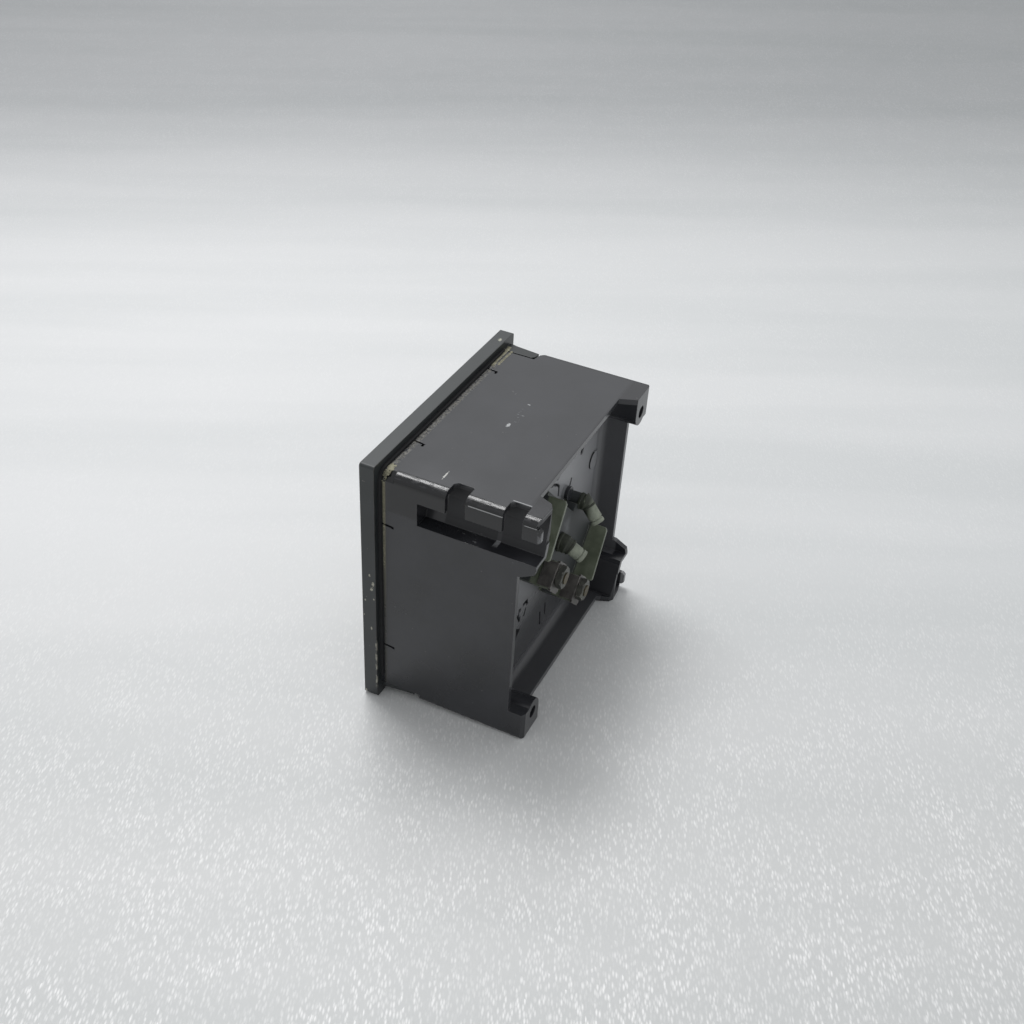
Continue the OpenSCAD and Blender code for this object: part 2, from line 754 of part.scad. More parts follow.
module hex_nut(at, y, t, flats, hole) {
    difference() {
        translate([at[0], y + t, at[1]]) rotate([90, 0, 0]) intersection() {
            cylinder(h = t, d = flats / cos(30), $fn = 6);
            union() {
                cylinder(h = t / 2, d1 = flats, d2 = flats + t * 1.2);
                translate([0, 0, t / 2]) cylinder(h = t / 2, d1 = flats + t * 1.2, d2 = flats);
            }
        }
        bar(at, y - overlap, y + t + overlap, hole);
    }
}

// Places a shape that stands on Z along a lead, from its base to its end.
module along_lead(i) {
    run = lead_tips[i] - lead_bases[i];
    translate(lead_bases[i]) rotate([0, -atan2(run[2], run[0]), 0]) rotate([0, 0, -acos(run[1] / norm(run))])
        rotate([-90, 0, 0]) children();
}

// What lies below a lead's base is cut off level with it.
module below_base(i) {
    translate([-half, lead_bases[i][1] - 20, -half]) cube([case_w, 20, case_w]);
}

module lead_sleeves() {
    color("#a9b0a0") for (i = [0, 1]) difference() {
        along_lead(i) difference() {
            translate([0, 0, -3]) cylinder(h = lead_l[i] + 3, d = lead_d);
            translate([0, 0, -4]) cylinder(h = lead_l[i] + 8, d = lead_d - 2 * sleeve_t);
            translate([0, 0, lead_l[i] - 1.6]) rotate_extrude() translate([lead_d / 2, 0]) circle(0.3);
        }
        below_base(i);
    }
}

module lead_wires() {
    color("#8a7a5a") for (i = [0, 1]) difference() {
        along_lead(i) translate([0, 0, -3]) cylinder(h = lead_l[i] + 2.4, d = lead_d - 2 * sleeve_t);
        below_base(i);
    }
}

module scale_plate() {
    color("#e8e8e2") slab(dial_y, dial_y + dial_t) difference() {
        square(dial_w, center = true);
        translate(axis) circle(dial_hole, $fn = 96);
        translate([axis[0], axis[1] - axis_mouth]) square([axis_mouth, axis_mouth + dial_hole]);
        translate([axis[0] - dial_hole, axis[1] - axis_mouth]) square([dial_hole + overlap, axis_mouth]);
        for (p = dial_pillars) translate(p) circle(d = screw_d + 0.4);
    }
}

// A slotted screw whose head seats at y and whose thread ends in a pillar.
module pan_screw(at, y, plate, d) {
    wide = head_d + d - screw_d;
    bar(at, y, y + plate + grip, d);
    difference() {
        translate([at[0], y, at[1]]) rotate([90, 0, 0]) cylinder(h = head_t, d1 = wide, d2 = wide * 0.7);
        translate([at[0] - wide, y - head_t - overlap, at[1] - 0.3])
            cube([2 * wide, overlap + 0.5 * head_t, 0.6]);
    }
}

module dial_screws() {
    color("#3a3a3a") for (p = dial_pillars) pan_screw(p, dial_y, dial_t, screw_d);
}

// Two pins stop the pointer just past the ends of the scale.
module pointer_stops() {
    lean = over + (stop_d / 2 + 0.75) / stop_r * 180 / PI;
    color(steel) for (a = [pointer_rest + lean, pointer_rest - sweep - lean]) {
        bar(polar(axis, stop_r, a), pointer_y - 0.8, dial_y, stop_d);
    }
}

module chassis() {
    color("#8d8f8c") difference() {
        union() {
            slab(chassis_y, chassis_y + chassis_t) {
                translate(axis) circle(yoke_ro + 1.2, $fn = 96);
                for (p = chassis_feet) chassis_arm(p);
            }
            bar(axis, chassis_y, cup_end, 2 * cup_r);
        }
        bar(axis, chassis_y - overlap, cup_end - cup_t, 2 * (cup_r - cup_t));
        bar(axis, cup_end - cup_t - overlap, cup_end + overlap, jewel_d);
        for (p = chassis_feet)
            bar(p, chassis_y - overlap, chassis_y + chassis_t + overlap, chassis_screw_d + 0.4);
    }
    color("#8d8f8c") bar(spring_post(), spring_rear_y - 0.4, cup_end - cup_t, 1.6);
}

// A hairspring's outer end is held by a post beside it.
function spring_post() = polar(axis, spring_r + stud_out, 225);

// An arm of the chassis that reaches a pillar of the case.
module chassis_arm(p) {
    run = p - axis;
    translate(p) circle(pillar_case_d / 2);
    translate(axis) rotate(atan2(run[1], run[0])) translate([0, -pillar_case_d / 2])
        square([norm(run), pillar_case_d]);
}

module chassis_screws() {
    color(steel) for (p = chassis_feet) pan_screw(p, chassis_y, chassis_t, chassis_screw_d);
}

module yoke_ring() {
    color("#7c8084") slab(yoke_y, chassis_y) translate(axis) difference() {
        circle(yoke_ro, $fn = 96);
        circle(yoke_ri, $fn = 96);
    }
}

module core_magnet() {
    color("#5a5c60") bar(axis, core_y, core_end, 2 * core_r);
}

// Two blocks across the air gap hold the core, clear of the coil's sweep.
module core_holder() {
    color("#9a9c98") slab(coil_mid - holder_h / 2, coil_mid + holder_h / 2) for (a = [45, 225]) {
        translate(axis) intersection() {
            difference() {
                circle(yoke_ri, $fn = 96);
                circle(core_r);
            }
            rotate(a) translate([0, -holder_w / 2]) square([yoke_ri + 1, holder_w]);
        }
    }
}

function bridge_pillars() = [for (a = [45, 225]) polar(axis, bridge_reach, a)];

module front_bridge() {
    color(brass) difference() {
        union() {
            slab(bridge_y, bridge_y + bridge_t) translate(axis) {
                rotate(45) square([2 * bridge_reach, 5], center = true);
                circle(4.6);
                for (a = [45, 225]) rotate(a) translate([bridge_reach, 0]) circle(2.5);
            }
            bar(axis, bridge_y, bridge_y + bridge_t + boss_l, bridge_boss_d);
            for (p = bridge_pillars()) bar(p, bridge_y, yoke_y, pillar_d);
        }
        bar(axis, bridge_y - overlap, bridge_y + bridge_t + boss_l + overlap, jewel_d);
    }
}

// Slotted jewel screws that hold the spindle's pivots.
module jewel_screws() {
    color(brass) {
        jewel_screw(bridge_y - 0.6, pivot_y, 1);
        jewel_screw(cup_end + 0.6, rear_pivot_y, -1);
    }
}

module jewel_screw(outer, tip, dir) {
    low = min(outer, tip);
    high = max(outer, tip);
    difference() {
        bar(axis, low, high, jewel_d);
        translate([axis[0], tip, axis[1]]) rotate([dir * 90, 0, 0]) cylinder(h = 0.6, d1 = 1.2, d2 = 0);
        translate([axis[0] - 2, dir > 0 ? low - 0.01 : high - 0.34, axis[1] - 0.2]) cube([4, 0.35, 0.4]);
    }
}

// A flat spiral strip whose outer end meets its post.
function spiral_point(t, r0, grow, shift) =
    polar([0, 0], r0 + grow * t + shift, 225 - 360 * spring_turns * (1 - t));

module hairspring(y) {
    r0 = spindle_d / 2 + 1.2;
    steps = 20 * spring_turns;
    grow = spring_r - r0;
    slab(y, y + spring_h) translate(axis) polygon([
        for (i = [0:steps]) spiral_point(i / steps, r0, grow, spring_t / 2),
        for (i = [steps:-1:0]) spiral_point(i / steps, r0, grow, -spring_t / 2)]);
}

module front_hairspring() {
    color("#b08d57") hairspring(spring_front_y);
}

module rear_hairspring() {
    color("#b08d57") hairspring(spring_rear_y);
}

// The zero screw fits the window and the movement cover, and its pin moves the lever.
module zero_screw() {
    pin_at = polar(zero_at, zero_throw, -45);
    color(black) difference() {
        union() {
            bar(zero_at, -frame_t, mask_y + run_gap, zero_d);
            bar(zero_at, mask_y + run_gap, mask_y + run_gap + 0.9, zero_d + 2 * zero_rim);
            bar(pin_at, mask_y, lever_y + lever_t + 0.3, pin_d);
        }
        translate([zero_at[0] - 4, -frame_t - overlap, zero_at[1] - 0.5]) cube([8, overlap + 1, 1]);
    }
}

// The lever's ring turns on the bridge's boss, and its fork takes the pin.
module zero_lever() {
    color(steel) {
        slab(lever_y, lever_y + lever_t) translate(axis) difference() {
            union() {
                circle(4.2);
                rotate(-45) translate([0, -1.9]) square([zero_out + zero_throw + 1.4, 3.8]);
                rotate(225) translate([0, -1.1]) square([spring_r + stud_out, 2.2]);
                rotate(225) translate([spring_r + stud_out, 0]) circle(1.1);
            }
            circle(bridge_boss_d / 2 + run_gap);
            rotate(-45) translate([zero_out + 0.1, -pin_d / 2 - 0.15]) square([6, pin_d + 0.3]);
            rotate(225) translate([spring_r + stud_out, 0]) circle(d = 1.2);
        }
    }
}

// The stud of the lever holds the front hairspring's outer end.
module spring_stud() {
    color(brass) bar(spring_post(), lever_y, spring_front_y + spring_h + 0.3, 1.2);
}

// Turns a shape from the pointer's rest direction.
module at_rest() {
    translate([axis[0], 0, axis[1]]) rotate([0, -pointer_rest, 0]) children();
}

module coil_ring(grow, t) {
    reach = former_in + grow;
    low = core_y - coil_gap - grow;
    high = core_end + coil_gap + grow;
    difference() {
        translate([-reach - t, low - t, -coil_w / 2]) cube([2 * (reach + t), high - low + 2 * t, coil_w]);
        translate([-reach, low, -coil_w]) cube([2 * reach, high - low, 2 * coil_w]);
    }
}

module coil_former() {
    color("#c4c7c9") at_rest() coil_ring(0, former_t);
}

module coil_winding() {
    color("#8c4f2b") at_rest() coil_ring(former_t, winding_t);
}

// Two half spindles, each with a foot on the coil and a pivot in its jewel.
module spindle() {
    color(steel) translate([axis[0], 0, axis[1]]) {
        translate([0, coil_front, 0]) rotate([90, 0, 0]) half_spindle(coil_front - pivot_y);
        translate([0, coil_rear, 0]) rotate([-90, 0, 0]) half_spindle(rear_pivot_y - coil_rear);
    }
}

// The pivot's tip stands a little way inside the jewel's cone.
module half_spindle(len) {
    cylinder(h = flange_t, d = flange_d);
    cylinder(h = len - 0.6, d = spindle_d);
    translate([0, 0, len - 0.6]) cylinder(h = 0.9, d1 = spindle_d, d2 = 0.3);
}

module pointer() {
    color("#1c1c1c") at_rest() slab(pointer_y, pointer_y + pointer_t) difference() {
        union() {
            circle(pointer_hub);
            polygon([[0, -1], [18, -0.6], [pointer_l - 14, -0.45], [pointer_l, -0.12], [pointer_l, 0.12],
                [pointer_l - 14, 0.45], [18, 0.6], [0, 1]]);
            for (a = [-20, 20]) rotate(180 + a) translate([0, -0.45]) square([tail_l, 0.9]);
        }
        circle(d = spindle_d);
    }
}

module balance_weights() {
    color(brass) at_rest() for (a = [-20, 20]) {
        rotate([0, -180 - a, 0]) translate([tail_l - 1.4, 0, 0])
            bar([0, 0], pointer_y - 0.5, pointer_y, 1.8);
    }
}

module circuit_board() {
    color("#2f5a3a") slab(board_y, board_y + board_t) difference() {
        translate(board_at) square(board);
        for (p = board_spots) translate(p) circle(d = screw_d + 0.4);
    }
}

module board_screws() {
    color(steel) for (p = board_spots) pan_screw(p, board_y, board_t, screw_d);
}

// A small laminated transformer whose bobbin stands on the board.
module transformer() {
    leg = trafo_l * 0.18;
    color("#6b6f72") translate([board_mid - trafo_w / 2, board_y - trafo_h, trafo_z]) difference() {
        cube([trafo_w, trafo_h, trafo_l]);
        for (x = [-overlap, trafo_w - 3]) translate([x, -overlap, leg])
            cube([3 + overlap, trafo_h + 2 * overlap, trafo_l - 2 * leg]);
    }
}

// Three capacitors stand in a row on the board.
module capacitors() {
    z = trafo_z - part_gap - cap_d / 2;
    color("#2c4a6e") for (i = [-1:1]) {
        bar([board_mid + i * (cap_d + part_gap), z], board_y - cap_l, board_y, i < 1 ? cap_d : 0.8 * cap_d);
    }
}

// A row of resistors that lie on the board's rear side, above the chip.
module resistors() {
    color("#b89468") for (i = [-2.5:1:2.5]) {
        translate([board_mid + res_pitch * i, board_y + board_t + res_d / 2, chip_z + chip_l + part_gap])
            cylinder(h = res_l, d = res_d);
    }
}

module converter_chip() {
    color("#222426") translate([board_mid - chip_w / 2, board_y + board_t, chip_z])
        cube([chip_w, chip_h, chip_l]);
}

bezel();
window();
gasket();
case();
terminal_block();
terminal_studs();
terminal_clamps();
terminal_nuts();
stud_lock_nuts();
lead_sleeves();
lead_wires();
scale_plate();
dial_screws();
pointer_stops();
chassis();
chassis_screws();
yoke_ring();
core_magnet();
core_holder();
front_bridge();
jewel_screws();
rear_hairspring();
zero_screw();
zero_lever();
spring_stud();
front_hairspring();
coil_former();
coil_winding();
spindle();
pointer();
balance_weights();
circuit_board();
board_screws();
transformer();
capacitors();
resistors();
converter_chip();
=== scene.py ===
import math

import bmesh
import bpy
from mathutils import Matrix, Vector


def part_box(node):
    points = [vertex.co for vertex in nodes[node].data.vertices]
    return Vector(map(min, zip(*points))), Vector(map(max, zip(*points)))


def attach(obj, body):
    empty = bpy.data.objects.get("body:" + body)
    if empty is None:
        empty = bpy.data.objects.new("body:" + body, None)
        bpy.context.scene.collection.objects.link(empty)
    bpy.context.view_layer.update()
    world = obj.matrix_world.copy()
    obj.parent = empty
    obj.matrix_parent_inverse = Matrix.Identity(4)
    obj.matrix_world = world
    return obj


# A square panel frequency meter, seen from behind at its clamp channels and its terminals.
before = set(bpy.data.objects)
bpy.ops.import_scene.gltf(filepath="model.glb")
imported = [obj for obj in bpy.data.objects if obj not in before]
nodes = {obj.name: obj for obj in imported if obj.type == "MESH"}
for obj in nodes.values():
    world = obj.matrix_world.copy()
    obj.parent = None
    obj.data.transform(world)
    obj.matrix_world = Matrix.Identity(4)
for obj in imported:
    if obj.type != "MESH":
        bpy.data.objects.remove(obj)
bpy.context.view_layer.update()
scene = bpy.context.scene
mm = 0.001
print("frame loaded:", len(nodes), "nodes")


# Tools for materials and pieces.

common = {      # what every finish shares
    "cloudSpan": (0.35, 0.65),      # noise values over which the dark colour turns to the light one,
    "roughSpan": (0.3, 0.7),        # and the lower roughness to the higher one
    "speckRim": 0.03,               # softness of a speck's rim
    "grainBlur": 0.08,              # and of the patches that break up a zone
    "wear": (0.985, 0.80),          # cosine of flat and softened normal where wear starts and is full
    "bevelSamples": 4,
    "relief": 0.2,                  # height of the bump as a share of the grain
    "waveRate": 20,                 # a wave of scale 1 turns 20 radians a metre
    "spotPitch": 0.625,             # millimetres, the noise that makes a chip's outline ragged,
    "spotNoise": 2.4,               # its strength,
    "spotRim": (1.85, 2.1),         # and the sum of noise and distance where the chip ends
}


def toLinear(hexText):
    # An sRGB hex colour as linear red, green and blue, with full alpha.
    parts = [int(hexText[i:i + 2], 16) / 255 for i in (1, 3, 5)]
    return [c / 12.92 if c <= 0.04045 else ((c + 0.055) / 1.055) ** 2.4 for c in parts] + [1.0]


def addNode(tree, kind, values=None, links=None):
    # A number is a socket's place. A word is a socket's name, or a setting of the node.
    node = tree.nodes.new(kind)
    for key, value in (values or {}).items():
        if isinstance(key, int) or key in node.inputs:
            node.inputs[key].default_value = value
        else:
            setattr(node, key, value)
    for key, source in (links or {}).items():
        tree.links.new(source, node.inputs[key])
    return node


def newMaterial(name):
    material = bpy.data.materials.new(name)
    material.use_nodes = True
    material.node_tree.nodes.clear()
    return material, material.node_tree


def zoneMask(tree, place, zone):
    # A soft box or a ragged spot in millimetres, that noise breaks up, and that may fade along one axis.
    moved = addNode(tree, "ShaderNodeVectorMath", {"operation": "MULTIPLY_ADD", 1: (1000, 1000, 1000),
                                                   2: [-c for c in zone["at"]]}, {0: place}).outputs[0]
    if "spot" in zone:      # radii of the spot
        share = addNode(tree, "ShaderNodeVectorMath", {"operation": "DIVIDE", 1: zone["spot"]},
                        {0: moved}).outputs[0]
        far = addNode(tree, "ShaderNodeVectorMath", {"operation": "LENGTH"}, {0: share}).outputs["Value"]
        ragged = addNode(tree, "ShaderNodeTexNoise", {"Scale": 1000 / common["spotPitch"], "Detail": 2.0},
                         {"Vector": place}).outputs["Fac"]
        most = addNode(tree, "ShaderNodeMath", {"operation": "MULTIPLY_ADD", 1: common["spotNoise"]},
                       {0: ragged, 2: far}).outputs[0]
        start, end = common["spotRim"]
    else:
        size = addNode(tree, "ShaderNodeVectorMath", {"operation": "ABSOLUTE"}, {0: moved}).outputs[0]
        over = addNode(tree, "ShaderNodeVectorMath", {"operation": "SUBTRACT", 1: zone["reach"]},
                       {0: size}).outputs[0]
        share = addNode(tree, "ShaderNodeVectorMath",
                        {"operation": "MULTIPLY", 1: [1 / c for c in zone["soft"]]}, {0: over}).outputs[0]
        sides = addNode(tree, "ShaderNodeSeparateXYZ", {}, {0: share}).outputs
        wide = addNode(tree, "ShaderNodeMath", {"operation": "MAXIMUM"},
                       {0: sides[0], 1: sides[2]}).outputs[0]
        most = addNode(tree, "ShaderNodeMath", {"operation": "MAXIMUM"}, {0: wide, 1: sides[1]}).outputs[0]
        start, end = 0.0, 1.0
    mask = addNode(tree, "ShaderNodeMapRange", {1: start, 2: end, 3: zone["amount"], 4: 0.0},
                   {0: most}).outputs[0]
    if "fade" in zone:      # axis, from and to in millimetres, and the share that is left at the start
        axis, start, end, least = zone["fade"]
        along = addNode(tree, "ShaderNodeSeparateXYZ", {}, {0: place}).outputs[axis]
        fading = addNode(tree, "ShaderNodeMapRange", {1: start * mm, 2: end * mm, 3: least, 4: 1.0},
                         {0: along}).outputs[0]
        mask = addNode(tree, "ShaderNodeMath", {"operation": "MULTIPLY"}, {0: mask, 1: fading}).outputs[0]
    if "grain" in zone:
        drawn = addNode(tree, "ShaderNodeVectorMath",
                        {"operation": "MULTIPLY", 1: zone.get("stretch", (1, 1, 1))}, {0: place}).outputs[0]
        fine = addNode(tree, "ShaderNodeTexNoise",
                       {"Scale": 1000 / zone["grain"], "Detail": 3.0, "Roughness": 0.6},
                       {"Vector": drawn}).outputs["Fac"]
        start, blur = zone["above"], zone.get("blur", common["grainBlur"])
        broken = addNode(tree, "ShaderNodeMapRange", {1: start, 2: start + blur}, {0: fine}).outputs[0]
        mask = addNode(tree, "ShaderNodeMath", {"operation": "MULTIPLY"}, {0: mask, 1: broken}).outputs[0]
    return mask


def finish(look):
    # One tree for every finish: clouded colour, lines, specks, zones, worn edges, grain and its bump.
    material, tree = newMaterial(look["name"])
    place = addNode(tree, "ShaderNodeTexCoord").outputs["Object"]
    cloud = addNode(tree, "ShaderNodeTexNoise",
                    {"Scale": 1000 / look["cloud"], "Detail": 4.0, "Roughness": 0.6},
                    {"Vector": place}).outputs["Fac"]
    start, end = common["cloudSpan"]
    spread = addNode(tree, "ShaderNodeMapRange", {1: start, 2: end}, {0: cloud}).outputs[0]
    colour = addNode(tree, "ShaderNodeMix",
                     {"data_type": "RGBA", 6: toLinear(look["dark"]), 7: toLinear(look["light"])},
                     {0: spread}).outputs[2]
    start, end = common["roughSpan"]
    smooth, dull = look["rough"]
    rough = addNode(tree, "ShaderNodeMapRange", {1: start, 2: end, 3: smooth, 4: dull},
                    {0: cloud}).outputs[0]
    height = addNode(tree, "ShaderNodeTexNoise", {"Scale": 1000 / look["grain"], "Detail": 3.0},
                     {"Vector": place}).outputs["Fac"]
    if "lines" in look:     # bands about six times as wide as the real pitch, so that they show
        lines = look["lines"]
        wave = addNode(tree, "ShaderNodeTexWave", {
            "bands_direction": lines["along"], "Scale": 1000 / lines["pitch"] / common["waveRate"],
        }, {"Vector": place}).outputs["Fac"]
        height = addNode(tree, "ShaderNodeMath", {"operation": "MULTIPLY_ADD", 1: lines["depth"]},
                         {0: wave, 2: height}).outputs[0]
    if "specks" in look:
        specks = look["specks"]
        fine = addNode(tree, "ShaderNodeTexNoise", {"Scale": 1000 / specks["size"], "Detail": 2.0},
                       {"Vector": place}).outputs["Fac"]
        start, end = specks["above"], specks["above"] + common["speckRim"]
        mask = addNode(tree, "ShaderNodeMapRange", {1: start, 2: end, 4: specks["amount"]},
                       {0: fine}).outputs[0]
        colour = addNode(tree, "ShaderNodeMix", {"data_type": "RGBA", 7: toLinear(specks["colour"])},
                         {0: mask, 6: colour}).outputs[2]
    for zone in look.get("zones", []):
        mask = zoneMask(tree, place, zone)
        colour = addNode(tree, "ShaderNodeMix", {"data_type": "RGBA", 7: toLinear(zone["colour"])},
                         {0: mask, 6: colour}).outputs[2]
        if "rough" in zone:
            rough = addNode(tree, "ShaderNodeMix", {"data_type": "FLOAT", 3: zone["rough"]},
                            {0: mask, 2: rough}).outputs[0]
    relief = {"Height": height}
    if "edge" in look:
        edge = look["edge"]
        softened = addNode(tree, "ShaderNodeBevel",
                           {"samples": common["bevelSamples"], "Radius": edge["radius"] * mm}).outputs[0]
        flat = addNode(tree, "ShaderNodeNewGeometry").outputs["Normal"]
        same = addNode(tree, "ShaderNodeVectorMath", {"operation": "DOT_PRODUCT"},
                       {0: softened, 1: flat}).outputs["Value"]
        start, end = edge.get("wear", common["wear"])
        worn = addNode(tree, "ShaderNodeMapRange", {1: start, 2: end, 4: edge["amount"]},
                       {0: same}).outputs[0]
        patchy = addNode(tree, "ShaderNodeMath", {"operation": "MULTIPLY"}, {0: worn, 1: spread}).outputs[0]
        colour = addNode(tree, "ShaderNodeMix", {"data_type": "RGBA", 7: toLinear(edge["colour"])},
                         {0: patchy, 6: colour}).outputs[2]
        relief["Normal"] = softened
    bump = addNode(tree, "ShaderNodeBump",
                   {"Strength": look["bump"], "Distance": look["grain"] * mm * common["relief"]}, relief)
    shader = addNode(tree, "ShaderNodeBsdfPrincipled",
                     {"Metallic": look.get("metallic", 0.0), "IOR": look.get("ior", 1.5)},
                     {"Base Color": colour, "Roughness": rough, "Normal": bump.outputs[0]})
    addNode(tree, "ShaderNodeOutputMaterial", {}, {"Surface": shader.outputs[0]})
    material.diffuse_color = toLinear(look["light"])
    return material


def paint(data, material):
    data.materials.clear()
    data.materials.append(material)


def dress(look, *names):
    material = finish(look)
    for name in names:
        paint(nodes[name].data, material)


def addPiece(name, mesh, body, material):
    piece = bpy.data.objects.new(name, mesh)
    scene.collection.objects.link(piece)
    paint(mesh, material)
    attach(piece, body)
    return piece


def meshFrom(work, name):
    mesh = bpy.data.meshes.new(name)
    work.to_mesh(mesh)
    work.free()
    return mesh


def plainMesh(holder):
    # What the object's modifiers or letters come to, with the object itself taken away.
    bpy.context.view_layer.update()
    made = bpy.data.meshes.new_from_object(holder.evaluated_get(bpy.context.evaluated_depsgraph_get()))
    bpy.data.objects.remove(holder)
    return made


# The camera at the photo's place, and the floor that the tilted meter stands on.

view = {
    "place": (0.304156, 0.157735, 0.260527),    # metres
    "right": (-0.436009, 0.898419, 0.052329),   # ways across the picture and down it
    "down": (0.525437, 0.301343, -0.795681),
    "lens": 43.347, "sensor": 36,               # millimetres
    "clip": (0.01, 50),
}
right = Vector(view["right"]).normalized()
forward = right.cross(Vector(view["down"])).normalized()
upward = forward.cross(right) * -1
cameraData = bpy.data.cameras.new("photoCamera")
cameraData.lens = view["lens"]
cameraData.sensor_width = view["sensor"]
cameraData.clip_start, cameraData.clip_end = view["clip"]
camera = bpy.data.objects.new("photoCamera", cameraData)
scene.collection.objects.link(camera)
camera.matrix_world = Matrix((right, upward, -forward)).transposed().to_4x4()
camera.location = view["place"]
scene.camera = camera

stand = {
    "frontEdge": (0.0, -0.048),     # y and z of the front frame's lower rear edge
    "rearFeet": (0.0534, -0.045),   # y and z under the boss feet
    "gap": 0.00005,                 # between them and the sheet
    "size": 12.0,
    # painted shade: the sheet darker far off than near
    "near": "#e6e7e8",
    "far": "#acaeb0",
    "fade": (0.21, 0.68),           # metres ahead where the painted shade turns the sheet from near to far
    # Painted shade: tints that multiply the colour, with the values between which each grows from none to
    # full.
    "side": ("#f1f2f2", 0.12, -0.32),       # metres to the side
    "band": ("#f6f7f7", 0.42, 0.66),        # noise of the ripples
    "front": ("#f4f4f3", 0.05, -0.10),      # metres ahead
    "ripples": (14.0, 1.6, 1.0),            # per metre along the view and across it
    # Painted highlights: white on cells close by.
    "paintedGlint": "#ffffff",
    "paintedGlintSize": 0.8,               # millimetres, coarser than the foam's real cells so that they show
    "paintedGlintTurn": 0.8,               # radians
    "paintedGlintStretch": (0.35, 1.15, 1.0),
    # Start, full and least share of what thins the glints out.
    "paintedGlintCore": (0.60, 0.14, 0.0),         # distance from the cell's middle
    "paintedGlintPick": (0.15, 0.70, 0.0),         # the cell's random value
    "paintedGlintCrowd": (0.36, 0.58, 0.45),       # noise of the patches below
    "paintedGlintReach": (0.02, -0.15, 0.16),      # metres ahead
    "patches": 45.0,                # per metre
    "grit": 900.0,                  # per metre
    "gritHeight": 0.0004,
}
edgeY, edgeZ = stand["frontEdge"]
footY, footZ = stand["rearFeet"]
slope = math.atan2(footZ - edgeZ, footY - edgeY)
half = stand["size"] / 2
corners = [(-half, -half, 0), (half, -half, 0), (half, half, 0), (-half, half, 0)]
floorMesh = bpy.data.meshes.new("floorSheet")
floorMesh.from_pydata(corners, [], [(0, 1, 2, 3)])
floorSheet = bpy.data.objects.new("floorSheet", floorMesh)
scene.collection.objects.link(floorSheet)
tilt = Matrix.Rotation(slope, 4, "X")
floorSheet.matrix_world = Matrix.Translation((0, edgeY, edgeZ - stand["gap"])) @ tilt


def foamSheet():
    # Pale foam packing sheet, skinned as it was blown: soft sheen, painted shade far off, to one side, in
    # faint ripples and close by, and painted highlights on cells close by.
    material, tree = newMaterial("glossyFoamSheet")
    place = addNode(tree, "ShaderNodeTexCoord").outputs["Object"]
    away = math.atan2(forward.y, forward.x)     # the ripples lie across the view
    turned = addNode(tree, "ShaderNodeMapping", {"Rotation": (0, 0, -away)}, {"Vector": place}).outputs[0]
    ahead, aside = addNode(tree, "ShaderNodeSeparateXYZ", {}, {0: turned}).outputs[:2]
    ripple = addNode(tree, "ShaderNodeMapping", {"Scale": stand["ripples"]}, {"Vector": turned}).outputs[0]
    rippleNoise = addNode(tree, "ShaderNodeTexNoise", {"Scale": 1.0, "Detail": 3.0, "Roughness": 0.55},
                          {"Vector": ripple}).outputs["Fac"]
    start, end = stand["fade"]
    distance = addNode(tree, "ShaderNodeMapRange", {1: start, 2: end, "interpolation_type": "SMOOTHSTEP"},
                       {0: ahead}).outputs[0]
    colour = addNode(tree, "ShaderNodeMix",
                     {"data_type": "RGBA", 6: toLinear(stand["near"]), 7: toLinear(stand["far"])},
                     {0: distance}).outputs[2]
    for source, key in ((aside, "side"), (rippleNoise, "band"), (ahead, "front")):
        tint, start, end = stand[key]
        mask = addNode(tree, "ShaderNodeMapRange", {1: start, 2: end}, {0: source}).outputs[0]
        colour = addNode(tree, "ShaderNodeMix",
                         {"data_type": "RGBA", "blend_type": "MULTIPLY", 7: toLinear(tint)},
                         {0: mask, 6: colour}).outputs[2]
    # painted highlights: white on chosen cells close by
    cells = addNode(tree, "ShaderNodeMapping",
                    {"Rotation": (0, 0, stand["paintedGlintTurn"]), "Scale": stand["paintedGlintStretch"]},
                    {"Vector": turned}).outputs[0]
    paintedGlintCells = addNode(tree, "ShaderNodeTexVoronoi", {"Scale": 1000 / stand["paintedGlintSize"]},
                       {"Vector": cells}).outputs
    patches = addNode(tree, "ShaderNodeTexNoise", {"Scale": stand["patches"], "Detail": 2.0},
                      {"Vector": place}).outputs["Fac"]
    masks = []
    for source, key in ((paintedGlintCells["Distance"], "paintedGlintCore"), (paintedGlintCells["Color"], "paintedGlintPick"),
                        (patches, "paintedGlintCrowd"), (ahead, "paintedGlintReach")):
        start, end, least = stand[key]
        masks.append(addNode(tree, "ShaderNodeMapRange", {1: start, 2: end, 3: least},
                             {0: source}).outputs[0])
    paintedGlints = masks[0]
    for mask in masks[1:]:
        paintedGlints = addNode(tree, "ShaderNodeMath", {"operation": "MULTIPLY"}, {0: paintedGlints, 1: mask}).outputs[0]
    colour = addNode(tree, "ShaderNodeMix", {"data_type": "RGBA", 7: toLinear(stand["paintedGlint"])},
                     {0: paintedGlints, 6: colour}).outputs[2]
    grit = addNode(tree, "ShaderNodeTexNoise", {"Scale": stand["grit"], "Detail": 2.0},
                   {"Vector": place}).outputs["Fac"]
    bump = addNode(tree, "ShaderNodeBump", {"Strength": 0.25, "Distance": stand["gritHeight"]},
                   {"Height": grit}).outputs[0]
    shader = addNode(tree, "ShaderNodeBsdfPrincipled", {"Roughness": 0.45, "IOR": 1.4},
                     {"Base Color": colour, "Normal": bump})
    addNode(tree, "ShaderNodeOutputMaterial", {}, {"Surface": shader.outputs[0]})
    return material


floorMesh.materials.append(foamSheet())
print("camera and floor set")


# Light: an even pale room, a wide lamp above and ahead of the dial, and two panels farther off for the gloss.

